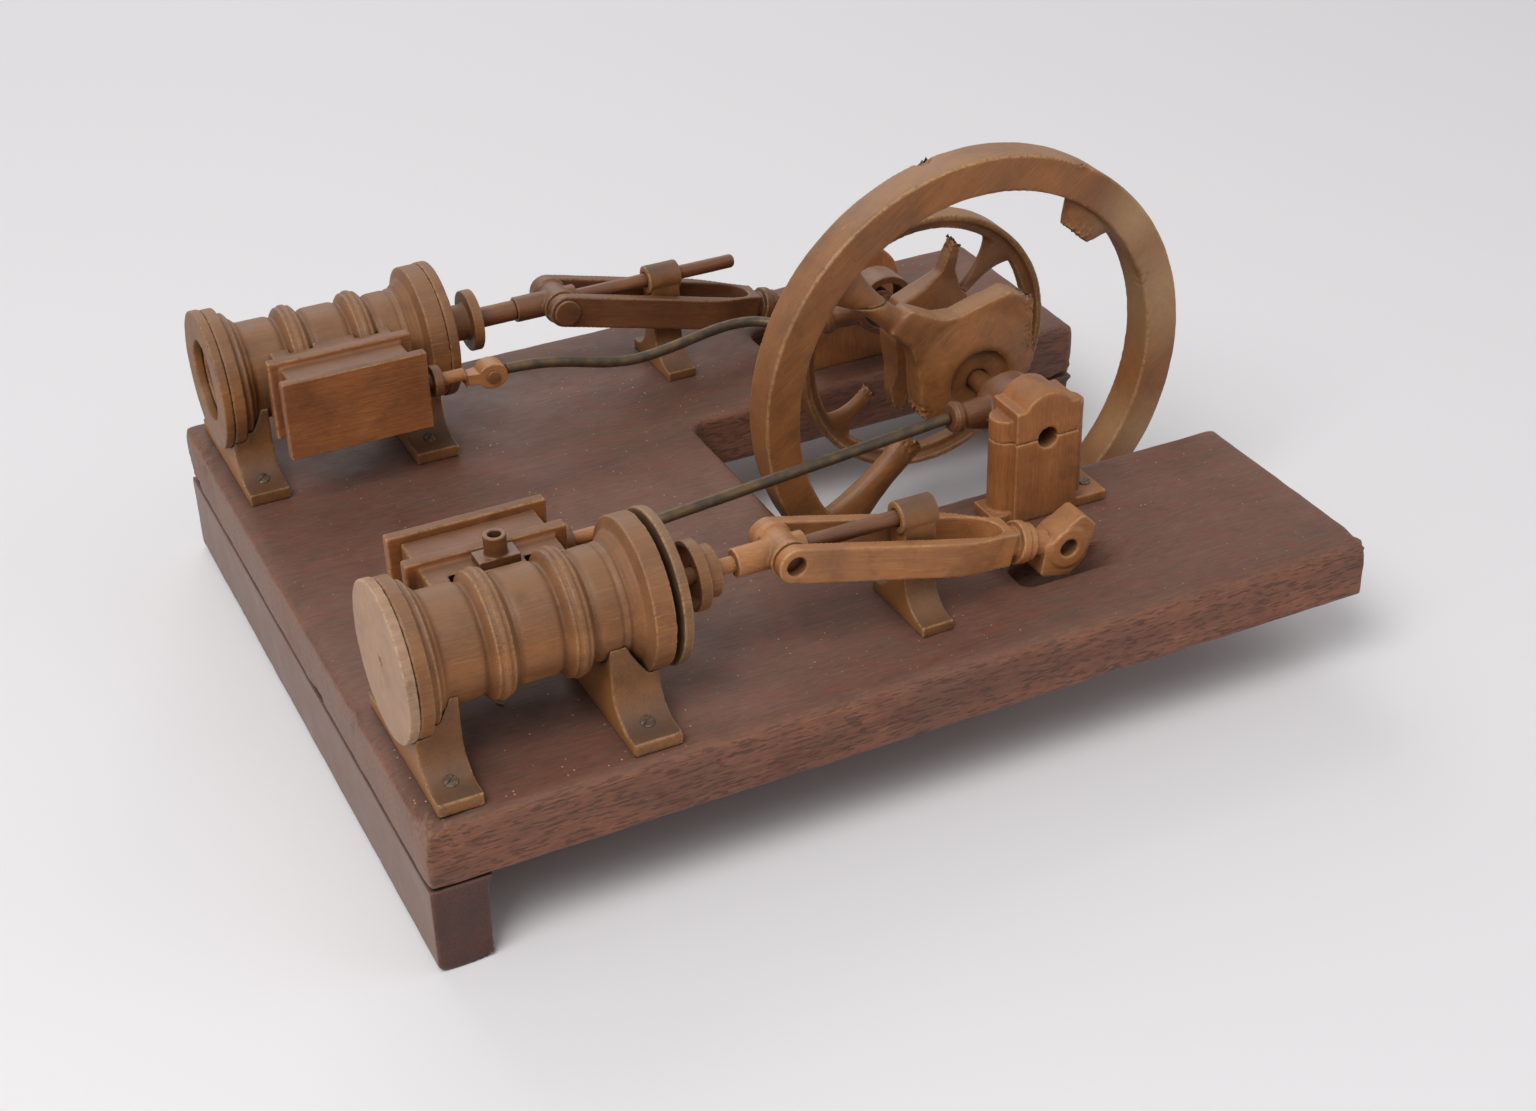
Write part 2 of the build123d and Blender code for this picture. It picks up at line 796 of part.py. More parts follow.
# Inlet on top of the near port block
with BuildPart() as near_inlet:
    flange_long, flange_wide, flange_thick = inlet_flange
    inlet_y = near.y + inlet_offset
    with BuildSketch(Plane(origin=(inlet_x, inlet_y, board_top + chest_top))):
        Rectangle(flange_long, flange_wide)
    extrude(amount=flange_thick)
    with BuildSketch(Plane(origin=(inlet_x, inlet_y, board_top + chest_top))):
        Circle(inlet_radius)
    extrude(amount=inlet_top - chest_top)
    with BuildSketch(Plane(origin=(inlet_x, inlet_y, board_top + inlet_top))):
        Circle(inlet_bore)
    extrude(amount=-(inlet_top - chest_top), mode=Mode.SUBTRACT)
keep(near_inlet, "near_inlet")

# Valve glands and clevises on the end of each steam chest
valve_z = board_top + valve_rise
clevis_z = valve_z - clevis_drop
clevis_x = cylinder_rear_x + clevis_start
clevis_end = clevis_x + clevis_length
chest_end_x = cylinder_rear_x + chest_start + chest_length
for engine in engines:
    valve_y = engine.y + engine.inward * valve_offset
    gland_x = chest_end_x + chest_flange_lip + gland_gap
    with BuildPart() as valve_gland:
        with BuildSketch(crossways(chest_end_x, valve_y, valve_z)):
            Circle(gland_boss_radius)
        extrude(amount=gland_x - chest_end_x)
        with BuildSketch(crossways(gland_x, valve_y, valve_z)):
            Circle(valve_gland_radius)
        extrude(amount=valve_gland_length)
        fillet(valve_gland.edges().filter_by(GeomType.CIRCLE).sort_by(Axis.X)[-1], 1.0)
    keep(valve_gland, f"{engine.name}_valve_gland")

    with BuildPart() as valve_clevis:
        with BuildSketch(crossways(clevis_x, valve_y, clevis_z)):
            Rectangle(clevis_width, clevis_height)
        extrude(amount=clevis_length)
        fillet(valve_clevis.edges().filter_by(Axis.Y), clevis_round)
        with BuildSketch(crossways(gland_x + valve_gland_length, valve_y, valve_z)):
            Circle(valve_rod_radius)
        extrude(amount=clevis_x - gland_x - valve_gland_length)
    keep(valve_clevis, f"{engine.name}_valve_clevis")

# Eccentric rods: the near one straight, the far one bent as it now lies, each into its strap's socket
socket_x = shaft_x - strap_radius - strap_socket_length
for engine in engines:
    valve_y = engine.y + engine.inward * valve_offset
    socket_z = shaft_z + engine.inward * strap_socket_rise
    socket_mouth = (socket_x, engine.strap_y, socket_z)
    rod_start = (clevis_end + rod_end_gap, valve_y, clevis_z)
    rod_end = (socket_x - rod_end_gap, engine.strap_y, socket_z)
    towards = Vector(shaft_x - socket_x, 0, shaft_z - socket_z)
    with BuildPart() as eccentric_rod:
        with BuildLine() as path:
            if engine is near:
                Line(rod_start, rod_end)
            else:
                span = rod_end[0] - rod_start[0]
                bends = [(rod_start[0] + share * span, valve_y, board_top + rise) for share, rise in far_rod_bends]
                Spline(rod_start, *bends, rod_end, tangents=((1, 0, 0), towards.normalized()))
        with BuildSketch(Plane(origin=path.line @ 0, z_dir=path.line % 0)):
            Circle(eccentric_rod_radius)
        sweep()
    keep(eccentric_rod, f"{engine.name}_eccentric_rod")

    ring_side = Plane(origin=(shaft_x, engine.strap_y, shaft_z), x_dir=(1, 0, 0), z_dir=(0, -1, 0))
    with BuildPart() as strap:
        with BuildSketch(ring_side):
            Circle(strap_radius)
        extrude(amount=strap_thickness / 2, both=True)
        with BuildSketch(Plane(origin=socket_mouth, z_dir=towards)):
            Circle(strap_socket_radius)
        extrude(amount=strap_socket_length + strap_wall, taper=-strap_socket_taper)
        with BuildSketch(Plane(origin=socket_mouth, z_dir=towards)):
            Circle(strap_bead_radius - strap_bead_step)
        extrude(amount=strap_bead_length)
        with BuildSketch(Plane(origin=socket_mouth, z_dir=towards).offset(strap_bead_step)):
            Circle(strap_bead_radius)
        extrude(amount=strap_bead_length - 2 * strap_bead_step)
        with BuildSketch(ring_side):
            Circle(strap_bore)
        extrude(amount=strap_thickness, both=True, mode=Mode.SUBTRACT)
    keep(strap, f"{engine.name}_eccentric_strap")

# Near pedestal: a block between two half-round columns, split through its bore, one foot broken off
column_x = pedestal_width / 2
depth_half = pedestal_depth / 2
with BuildPart() as near_pedestal_base:
    with BuildSketch(Plane(origin=(shaft_x, near_pedestal_y, board_top))):
        Rectangle(pedestal_width, pedestal_depth)
        with Locations((-column_x, 0), (column_x, 0)):
            Circle(column_radius)
    extrude(amount=shaft_rise - seat_gap / 2)
    with BuildSketch(Plane(origin=(shaft_x, near_pedestal_y, board_top))):
        with Locations((column_x + (column_radius + pedestal_foot) / 2, 0)):
            Rectangle(column_radius + pedestal_foot, pedestal_depth)
        with Locations((-column_x - column_radius / 2, 0)):
            Rectangle(column_radius + 2 * pedestal_stub, pedestal_depth * 0.8)
    extrude(amount=pedestal_foot_thickness)
    with BuildSketch(Plane(origin=(shaft_x, near_pedestal_y, shaft_z), x_dir=(1, 0, 0), z_dir=(0, -1, 0))):
        Circle(bearing_radius)
    extrude(amount=pedestal_depth, both=True, mode=Mode.SUBTRACT)
keep(near_pedestal_base, "near_pedestal_base")

with BuildPart() as near_pedestal_cap:
    with BuildSketch(Plane(origin=(shaft_x, near_pedestal_y, board_top), x_dir=(1, 0, 0), z_dir=(0, -1, 0))):
        split_rise = shaft_rise + seat_gap / 2
        with BuildLine():
            Polyline(
                (-crown_half, pedestal_shoulder),
                (-column_x, pedestal_shoulder),
                (-column_x, split_rise),
                (column_x, split_rise),
                (column_x, pedestal_shoulder),
                (crown_half, pedestal_shoulder),
            )
            ThreePointArc((crown_half, pedestal_shoulder), (0, pedestal_crown), (-crown_half, pedestal_shoulder))
        make_face()
    extrude(amount=depth_half, both=True)
    with BuildSketch(Plane(origin=(shaft_x, near_pedestal_y, board_top + split_rise))):
        with Locations((-column_x, 0), (column_x, 0)):
            Circle(column_radius)
    extrude(amount=pedestal_shoulder - split_rise - column_drop)
    with BuildSketch(Plane(origin=(shaft_x, near_pedestal_y, shaft_z), x_dir=(1, 0, 0), z_dir=(0, -1, 0))):
        Circle(bearing_radius)
    extrude(amount=pedestal_depth, both=True, mode=Mode.SUBTRACT)
keep(near_pedestal_cap, "near_pedestal_cap")

# Far pedestal: a wide low block under a rounded cap
far_pedestal_side = Plane(origin=(shaft_x, far_pedestal_y, board_top), x_dir=(1, 0, 0), z_dir=(0, -1, 0))
with BuildPart() as far_pedestal_base:
    with BuildSketch(far_pedestal_side):
        with BuildLine():
            Polyline(
                (-far_pedestal_width / 2, 0),
                (far_pedestal_width / 2, 0),
                (far_pedestal_width / 2, far_pedestal_height),
                (far_neck_half, far_pedestal_height + far_pedestal_slope),
                (far_neck_half, shaft_rise - seat_gap / 2),
                (-far_neck_half, shaft_rise - seat_gap / 2),
                (-far_neck_half, far_pedestal_height + far_pedestal_slope),
                (-far_pedestal_width / 2, far_pedestal_height),
                close=True,
            )
        make_face()
        with Locations((0, shaft_rise)):
            Circle(bearing_radius, mode=Mode.SUBTRACT)
    extrude(amount=depth_half, both=True)
keep(far_pedestal_base, "far_pedestal_base")

with BuildPart() as far_pedestal_cap:
    with BuildSketch(far_pedestal_side):
        with Locations((0, shaft_rise)):
            Circle(far_cap_radius)
            Circle(bearing_radius, mode=Mode.SUBTRACT)
        with Locations((0, shaft_rise - far_cap_radius + seat_gap / 2)):
            Rectangle(3 * far_cap_radius, 2 * far_cap_radius, mode=Mode.SUBTRACT)
    extrude(amount=depth_half, both=True)
keep(far_pedestal_cap, "far_pedestal_cap")

# Crankshaft, turned with its two eccentric sheaves
shaft_start = near_pedestal_y - depth_half + shaft_recess
shaft_end = far_pedestal_y - far_shaft_recess
with BuildPart() as crankshaft:
    with BuildSketch(Plane(origin=(shaft_x, shaft_start, shaft_z), x_dir=(1, 0, 0), z_dir=(0, 1, 0))):
        Circle(shaft_radius)
    extrude(amount=shaft_end - shaft_start)
    with BuildSketch(Plane(origin=(shaft_x, shaft_collar_y, shaft_z), x_dir=(1, 0, 0), z_dir=(0, 1, 0))):
        Circle(shaft_collar_radius)
    extrude(amount=shaft_collar_width / 2, both=True)
    for engine in engines:
        with BuildSketch(
            Plane(
                origin=(shaft_x - sheave_throw, engine.strap_y, shaft_z),
                x_dir=(1, 0, 0),
                z_dir=(0, 1, 0),
            )
        ):
            Circle(sheave_radius)
        extrude(amount=sheave_thickness / 2, both=True)
keep(crankshaft, "crankshaft")


def wheel_side(y, drop=0):
    """The plane of a wheel at y, square to the shaft, with its x along +X and its y up."""
    return Plane(origin=(shaft_x, y, shaft_z - drop), x_dir=(1, 0, 0), z_dir=(0, -1, 0))


def spoke(y, angle, stations, drop=0):
    """A rounded spoke at an angle in degrees, through (radius, width, thickness) stations."""
    turn = radians(angle)
    outward = Vector(cos(turn), 0, sin(turn))
    across = Vector(-sin(turn), 0, cos(turn))
    center = Vector(shaft_x, y, shaft_z - drop)
    with BuildPart(mode=Mode.PRIVATE) as piece:
        for radius, width, thickness in stations:
            with BuildSketch(Plane(origin=center + outward * radius, x_dir=across, z_dir=outward)):
                Ellipse(width / 2, thickness / 2)
        loft()
    return piece.part


def rim_ring(y, outer, inner, width, edge, drop=0):
    """A plain rim with softened edges."""
    with BuildPart(mode=Mode.PRIVATE) as piece:
        with BuildSketch(wheel_side(y, drop)):
            Circle(outer)
            Circle(inner, mode=Mode.SUBTRACT)
        extrude(amount=width / 2, both=True)
        fillet(piece.edges().filter_by(GeomType.CIRCLE), edge)
    return piece.part


# Flywheel: a broad flat rim on four spokes, of which one still holds, cracked through
crack_turn = radians(crack_angle)
crack_normal = (-sin(crack_turn), 0, cos(crack_turn))
spoke_turn = radians(sound_spoke)
crack_point = (shaft_x + crack_radius * cos(spoke_turn), rim_y, shaft_z + crack_radius * sin(spoke_turn))
crack = Plane(origin=crack_point, z_dir=crack_normal)
sound = spoke(
    rim_y,
    sound_spoke,
    [
        (hub_radius * 0.6, spoke_width * 1.3, spoke_thickness),
        (hub_radius * 2.2, spoke_width, spoke_thickness),
        (rim_inner_radius * 0.85, spoke_width, spoke_thickness),
        (rim_inner_radius + spoke_root, spoke_flare, spoke_thickness),
    ],
)
with BuildPart() as flywheel_rim:
    add(sound)
    split(bisect_by=crack.offset(seat_gap / 2), keep=Keep.TOP)
    add(rim_ring(rim_y, rim_radius, rim_inner_radius, rim_width, rim_edge))
    add(
        spoke(
            rim_y,
            broken_spoke,
            [
                (broken_spoke_end, broken_end_width, spoke_thickness * 0.8),
                (rim_inner_radius * 0.65, spoke_width, spoke_thickness),
                (rim_inner_radius + spoke_root, spoke_flare, spoke_thickness),
            ],
        )
    )
    add(
        spoke(
            rim_y,
            stub_spoke,
            [
                (stub_end, stub_end_width, spoke_thickness),
                (rim_inner_radius + spoke_root, stub_flare, spoke_thickness),
            ],
        )
    )
keep(flywheel_rim, "flywheel_rim")


def dished_web(y, outline, core, core_width, slope_end, thickness):
    """What is left of a carved hub: an outline as thick as the core in its middle and thinner further out."""
    core_half = core_width / 2
    thin_half = thickness / 2
    beyond = 2 * slope_end
    with BuildPart(mode=Mode.PRIVATE) as piece:
        with BuildSketch(wheel_side(y)) as carved:
            with BuildLine():
                Polyline(*outline, close=True)
            make_face()
            fillet(carved.vertices(), running_gap * 16)
            Circle(core)
        extrude(amount=core_half, both=True)
        with BuildSketch(Plane(origin=(shaft_x, y, shaft_z), x_dir=(1, 0, 0), z_dir=(0, 0, 1))):
            with BuildLine():
                Polyline(
                    (0, core_half),
                    (core, core_half),
                    (slope_end, thin_half),
                    (beyond, thin_half),
                    (beyond, -thin_half),
                    (slope_end, -thin_half),
                    (core, -core_half),
                    (0, -core_half),
                    close=True,
                )
            make_face()
        revolve(axis=Axis((shaft_x, y, shaft_z), (0, 1, 0)), mode=Mode.INTERSECT)
    return piece.part


with BuildPart() as flywheel_hub:
    add(sound)
    split(bisect_by=crack.offset(-seat_gap / 2), keep=Keep.BOTTOM)
    add(dished_web(rim_y, hub_web, hub_radius, hub_width, hub_slope_end, hub_web_thickness))
    with BuildSketch(wheel_side(rim_y).offset(hub_width / 2)):
        Circle(hub_recess_radius)
    extrude(amount=-hub_recess, mode=Mode.SUBTRACT)
    with BuildSketch(wheel_side(rim_y)):
        Circle(shaft_radius + seat_gap)
    extrude(amount=hub_width, both=True, mode=Mode.SUBTRACT)
keep(flywheel_hub, "flywheel_hub")

# Second wheel: a ribbed rim that has come off its hub and leans on one of the hub's arms
with BuildPart() as second_wheel_rim:
    lip_inner = second_rim_radius - second_rim_lip
    with BuildSketch(wheel_side(second_rim_y, second_rim_drop)):
        Circle(second_rim_radius)
        Circle(lip_inner, mode=Mode.SUBTRACT)
    extrude(amount=second_rim_width / 2, both=True)
    with BuildSketch(wheel_side(second_rim_y, second_rim_drop)):
        Circle(lip_inner + second_rim_lip / 2)
        Circle(second_rim_inner_radius, mode=Mode.SUBTRACT)
    extrude(amount=second_rim_rib / 2, both=True)
    for angle, stations in second_rim_spokes:
        thick = [(radius, width, second_rim_rib) for radius, width in stations]
        add(spoke(second_rim_y, angle, thick, second_rim_drop))
keep(second_wheel_rim, "second_wheel_rim")

# The end of the rim's first spoke rests on a ledge of the hub
rest_angle, rest_stations = second_rim_spokes[0]
tip_radius, tip_width = rest_stations[0]
rest_turn = radians(rest_angle)
ledge_radius = tip_radius - seat_gap
ledge = tuple(
    (
        ledge_radius * cos(rest_turn) - side * sin(rest_turn),
        ledge_radius * sin(rest_turn) + side * cos(rest_turn) - second_rim_drop,
    )
    for side in (tip_width / 2, -tip_width / 2)
)
with BuildPart() as second_wheel_hub:
    add(
        dished_web(
            second_rim_y,
            second_hub_web[:6] + ledge + second_hub_web[6:],
            second_hub_radius,
            second_hub_width,
            second_hub_radius * 2,
            second_web_thickness,
        )
    )
    with BuildSketch(wheel_side(second_rim_y)):
        Circle(shaft_radius + seat_gap)
    extrude(amount=second_hub_width, both=True, mode=Mode.SUBTRACT)
keep(second_wheel_hub, "second_wheel_hub")
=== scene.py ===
"""Dresses an old wooden demonstration steam engine: worn wood, tarnished rods, screws and breaks."""

from __future__ import annotations

import json
import logging
import math
from dataclasses import dataclass, field
from enum import Enum
from typing import Any, Callable

import bpy
from mathutils import Matrix, Vector, noise

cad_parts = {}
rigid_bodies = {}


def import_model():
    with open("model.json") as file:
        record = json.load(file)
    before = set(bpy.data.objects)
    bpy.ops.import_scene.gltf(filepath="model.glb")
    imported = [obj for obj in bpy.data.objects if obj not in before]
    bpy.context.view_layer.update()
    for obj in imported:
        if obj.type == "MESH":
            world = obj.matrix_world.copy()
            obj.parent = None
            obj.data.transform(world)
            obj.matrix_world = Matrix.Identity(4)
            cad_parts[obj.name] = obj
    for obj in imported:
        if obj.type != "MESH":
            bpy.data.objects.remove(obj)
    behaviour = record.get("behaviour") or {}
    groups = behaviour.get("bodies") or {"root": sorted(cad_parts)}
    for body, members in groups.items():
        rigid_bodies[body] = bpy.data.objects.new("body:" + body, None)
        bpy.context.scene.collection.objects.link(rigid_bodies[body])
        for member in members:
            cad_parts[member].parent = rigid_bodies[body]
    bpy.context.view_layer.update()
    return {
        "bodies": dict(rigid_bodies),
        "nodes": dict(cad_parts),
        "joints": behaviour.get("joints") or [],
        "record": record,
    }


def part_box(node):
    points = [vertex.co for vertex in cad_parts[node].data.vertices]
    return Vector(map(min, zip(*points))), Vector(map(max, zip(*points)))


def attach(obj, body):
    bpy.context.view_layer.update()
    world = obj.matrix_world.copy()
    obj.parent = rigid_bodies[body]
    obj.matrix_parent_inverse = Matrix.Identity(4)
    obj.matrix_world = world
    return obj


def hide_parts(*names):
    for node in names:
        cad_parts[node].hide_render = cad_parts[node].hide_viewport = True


log = logging.getLogger("steam_engine")

MM = 0.001
# Where the shaft's axis lies in the frame
SHAFT_X_MM = 84.5
SHAFT_Z_MM = 89.5
# Colours that every wood shares: open pores, painted shade in sheltered corners and in concave creases, bleached
# fibres and crumbs of sawdust
PORE_COLOUR = "#20110b"
CORNER_SHADE_COLOUR = "#24150c"
# Painted shade colour for concave creases
CREASE_SHADE_COLOUR = "#22140c"
BLEACHED_COLOUR = "#ad8b64"
CRUMB_COLOUR = "#b3987c"
# How far the painted shade in a sheltered corner reaches, and the spacing of the crumbs
CORNER_SHADE_REACH_MM = 9.0
CRUMB_SPACING_MM = 2.6
# Seams closer than this are one seam
SEAM_M = 1e-6
SMOOTH_ANGLE_DEG = 35.0
# Lines turned into a cylinder: distance from its rear face, depth and half width
TURNED_LINES_MM = (
    (6.3, 0.5, 0.5),
    (9.0, 0.8, 0.6),
    (25.5, 1.3, 1.6),
    (28.6, 0.7, 0.5),
    (31.8, 0.7, 0.5),
    (34.9, 1.3, 1.6),
    (50.9, 1.3, 1.6),
    (54.0, 0.7, 0.5),
    (57.2, 0.7, 0.5),
    (60.3, 1.3, 1.6),
    (69.8, 0.5, 0.5),
    (72.6, 0.7, 0.6),
    (75.9, 0.6, 0.5),
)


class Grain(Enum):
    """The way the grain runs in a piece, as a turn in degrees that brings it onto X."""

    ALONG_X = (0.0, 0.0, 0.0)
    ALONG_Y = (0.0, 0.0, 90.0)
    ALONG_Z = (0.0, 90.0, 0.0)
    ACROSS_WHEEL = (0.0, 38.0, 0.0)
    BIG_SLANT = (0.0, -14.6, 0.0)


def linear(hex_colour: str) -> tuple[float, float, float, float]:
    """Turns an sRGB hex colour into the linear values that a shader takes.

    Args:
        hex_colour: Six hex digits, with or without a leading hash.

    Returns:
        Red, green, blue and an alpha of 1.
    """
    digits = hex_colour.lstrip("#")
    channels = [int(digits[i : i + 2], 16) / 255 for i in (0, 2, 4)]
    red, green, blue = (c / 12.92 if c <= 0.04045 else ((c + 0.055) / 1.055) ** 2.4 for c in channels)
    return (red, green, blue, 1.0)


def add_node(
    tree: bpy.types.NodeTree, kind: str, inputs: dict[Any, Any] | None = None, **settings: Any
) -> bpy.types.Node:
    """Adds one node, sets its properties, and sets or links its inputs.

    Args:
        tree: The node tree that takes the node.
        kind: The node's type name.
        inputs: Input name or index to a value, or to a socket to link from.
        **settings: Properties of the node.

    Returns:
        The new node.
    """
    node = tree.nodes.new(kind)
    for key, value in settings.items():
        setattr(node, key, value)
    for key, value in (inputs or {}).items():
        if isinstance(value, bpy.types.NodeSocket):
            tree.links.new(value, node.inputs[key])
        else:
            node.inputs[key].default_value = value
    return node


@dataclass(frozen=True)
class WoodFinish:
    """An old oiled wood: its colours, the size of its figure, and its dust, wear and pores."""

    name: str
    dark: str
    body: str
    light: str
    top: str
    top_cover: float = 0.4
    top_from: float = 0.45
    end: str = "#84604a"
    end_cover: float = 0.0
    wear: str = "#c39a6b"
    wear_amount: float = 0.8
    stain: str = "#4a2c18"
    stain_cover: float = 0.35
    grain: Grain = Grain.ALONG_X
    band_mm: float = 7.0
    band_contrast: float = 0.6
    fibre_mm: float = 0.5
    pore_mm: float = 0.7
    pore_run_mm: float = 5.0
    pore_share: float = 0.3
    pore_strength: float = 0.25
    patch: str = ""
    speck_share: float = 0.0
    blotch_mm: float = 22.0
    roughness: float = 0.6
    coat: float = 0.08
    relief_mm: float = 0.12

    def material(self) -> bpy.types.Material:
        """Builds the wood as a node material on Object coordinates.

        Returns:
            The finished material.
        """
        made = bpy.data.materials.new(self.name)
        made.use_nodes = True
        tree = made.node_tree
        tree.nodes.clear()
        found = self.patterns(tree)
        masks = self.masks(tree, found)
        colour = self.colour(tree, masks)
        relief = add_node(
            tree, "ShaderNodeMath", {0: found["fibres"], 1: masks["pores"]}, operation="SUBTRACT"
        ).outputs[0]
        relief = add_node(tree, "ShaderNodeMath", {0: relief, 1: found["fine"]}, operation="ADD").outputs[0]
        bump = add_node(
            tree, "ShaderNodeBump", {"Height": relief, "Distance": self.relief_mm * MM, "Strength": 0.8}
        ).outputs[0]
        skin = add_node(
            tree,
            "ShaderNodeBsdfPrincipled",
            {
                "Base Color": colour,
                "Roughness": masks["dull"],
                "Normal": bump,
                "Coat Weight": self.coat,
                "Coat Roughness": 0.35,
            },
        )
        add_node(tree, "ShaderNodeOutputMaterial", {"Surface": skin.outputs[0]})
        return made

    def patterns(self, tree: bpy.types.NodeTree) -> dict[str, bpy.types.NodeSocket]:
        """Adds the patterns that the wood is painted from.

        Args:
            tree: The material's node tree.

        Returns:
            Each pattern's value by name.
        """
        place = add_node(tree, "ShaderNodeTexCoord").outputs["Object"]
        turn = tuple(math.radians(a) for a in self.grain.value)
        along = add_node(tree, "ShaderNodeMapping", {"Vector": place, "Rotation": turn}).outputs[0]
        surface = add_node(tree, "ShaderNodeNewGeometry").outputs
        facing = add_node(tree, "ShaderNodeSeparateXYZ", {0: surface["Normal"]}).outputs
        ends = add_node(tree, "ShaderNodeMath", {0: facing["X"]}, operation="ABSOLUTE").outputs[0]
        # Ambient occlusion: where it finds the surface sheltered, painted shade darkens the wood
        shelter = add_node(tree, "ShaderNodeAmbientOcclusion", {"Distance": CORNER_SHADE_REACH_MM * MM}, samples=6)
        bleached = add_node(tree, "ShaderNodeAttribute", attribute_name="bleached")
        found = {
            "up": facing["Z"],
            "ends": ends,
            "corners": surface["Pointiness"],
            "shelter": shelter.outputs["AO"],
            "bleached": bleached.outputs["Fac"],
        }
        # Noises drawn out along the grain: width in millimetres, stretch, detail and roughness
        drawn = [
            ("fibres", self.fibre_mm, 24, 3.0, 0.65),
            ("bands", self.band_mm, 14, 3.0, 0.55),
            ("streaks", self.pore_mm, self.pore_run_mm / self.pore_mm, 1.0, 0.55),
            ("scuffs", 0.9, 5, 4.0, 0.7),
        ]
        # Even noises: size in millimetres, detail and roughness
        clouds = [
            ("blotch", self.blotch_mm, 5.0, 0.62),
            ("fine", 1.6, 6.0, 0.7),
            ("stains", self.blotch_mm * 0.6, 7.0, 0.68),
            ("scuffed places", 17.0, 3.0, 0.62),
        ]
        if self.patch:
            drawn += [("wiped", 7.0, 2.5, 8.0, 0.72), ("mottle", 1.2, 6.0, 4.0, 0.7)]
        if self.speck_share:
            clouds.append(("dusty places", 40.0, 3.0, 0.62))
            crumbs = {"Vector": place, "Scale": 1 / (CRUMB_SPACING_MM * MM)}
            cells = add_node(tree, "ShaderNodeTexVoronoi", crumbs).outputs
            found["crumbs"] = cells["Distance"]
            found["crumb draw"] = add_node(tree, "ShaderNodeSeparateColor", {0: cells["Color"]}).outputs[0]
        for name, width_mm, stretch, detail, rough in drawn:
            across = 1 / (width_mm * MM)
            scale = (across / stretch, across, across)
            run = add_node(tree, "ShaderNodeMapping", {"Vector": along, "Scale": scale}).outputs[0]
            inputs = {"Vector": run, "Scale": 1.0, "Detail": detail, "Roughness": rough}
            found[name] = add_node(tree, "ShaderNodeTexNoise", inputs).outputs[0]
        for name, size_mm, detail, rough in clouds:
            inputs = {"Vector": place, "Scale": 1 / (size_mm * MM), "Detail": detail, "Roughness": rough}
            found[name] = add_node(tree, "ShaderNodeTexNoise", inputs).outputs[0]
        return found

    def masks(
        self, tree: bpy.types.NodeTree, found: dict[str, bpy.types.NodeSocket]
    ) -> dict[str, bpy.types.NodeSocket]:
        """Spreads the patterns onto the shares at which each colour is laid.

        Args:
            tree: The material's node tree.
            found: Each pattern's value by name.

        Returns:
            Each mask by name.
        """
        pore_edge = 0.66 - 0.3 * self.pore_share
        # Mask, its pattern, the pattern's low and high, and the shares that those become
        spreads = [
            ("bands", "bands", 0.36, 0.64, 1 - self.band_contrast, 1.0),
            ("fibres", "fibres", 0.45, 0.78, 0.0, 0.55),
            ("pores", "streaks", pore_edge, pore_edge + 0.06, 0.0, self.pore_strength),
            ("pores by side", "up", 0.5, 0.95, 1.0, 0.35),
            ("stains", "stains", 0.52, 0.66, 0.0, self.stain_cover),
            ("tone", "blotch", 0.3, 0.72, 0.74, 1.2),
            ("ends", "ends", 0.75, 0.95, 0.0, self.end_cover),
            # Painted shade: darker where ambient occlusion finds the surface sheltered
            ("corner shade", "shelter", 0.15, 0.85, 0.62, 0.0),
            ("dust", "up", self.top_from, 0.95, 0.0, self.top_cover),
            ("dust by place", "blotch", 0.34, 0.66, 0.3, 1.0),
            ("bleached by fibre", "fine", 0.2, 0.75, 0.55, 1.0),
            ("worn", "corners", 0.517, 0.56, 0.0, 1.0),
            ("worn by fibre", "fine", 0.4, 0.52, 0.0, 1.0),
            ("worn by place", "blotch", 0.36, 0.6, 0.25 * self.wear_amount, self.wear_amount),
            # Painted shade: darker in concave creases, where pointiness is low
            ("crease shade", "corners", 0.475, 0.43, 0.0, 0.6),
            ("scuffs", "scuffs", 0.665, 0.69, 0.0, 1.0),
            ("scuffs by place", "scuffed places", 0.55, 0.62, 0.0, 0.55 * self.wear_amount),
            ("dull", "blotch", 0.3, 0.7, self.roughness - 0.1, self.roughness + 0.14),
        ]
        # Masks that hold only where another one does
        limits = [
            ("pores", "pores by side"),
            ("dust", "dust by place"),
            ("bleached", "bleached by fibre"),
            ("worn", "worn by fibre"),
            ("worn", "worn by place"),
            ("scuffs", "scuffs by place"),
        ]
        if self.patch:
            spreads += [
                ("wiped", "wiped", 0.5, 0.62, 0.0, 1.0),
                ("wiped by side", "up", 0.7, 0.95, 0.0, 0.5),
                ("mottle", "mottle", 0.3, 0.75, 0.8, 1.22),
            ]
            limits.append(("wiped", "wiped by side"))
        if self.speck_share:
            spreads += [
                ("crumbs", "crumbs", 0.14, 0.09, 0.0, 1.0),
                ("crumbs by draw", "crumb draw", 1 - self.speck_share, 1.005 - self.speck_share, 0.0, 1.0),
                ("crumbs by side", "up", 0.9, 0.99, 0.0, 1.0),
                ("crumbs by place", "dusty places", 0.4, 0.6, 0.15, 1.0),
            ]
            limits += [("crumbs", f"crumbs by {what}") for what in ("draw", "side", "place")]
        masks = {"bleached": found["bleached"]}
        for name, pattern, low, high, to_low, to_high in spreads:
            inputs = {0: found[pattern], 1: low, 2: high, 3: to_low, 4: to_high}
            masks[name] = add_node(tree, "ShaderNodeMapRange", inputs).outputs[0]
        for name, limit in limits:
            inputs = {0: masks[name], 1: masks[limit]}
            masks[name] = add_node(tree, "ShaderNodeMath", inputs, operation="MULTIPLY", use_clamp=True).outputs[0]
        return masks

    def colour(self, tree: bpy.types.NodeTree, masks: dict[str, bpy.types.NodeSocket]) -> bpy.types.NodeSocket:
        """Lays the wood's colours and its painted shade over each other, from the bare wood to what lies on it.

        Args:
            tree: The material's node tree.
            masks: Each mask by name.

        Returns:
            The finished colour.
        """
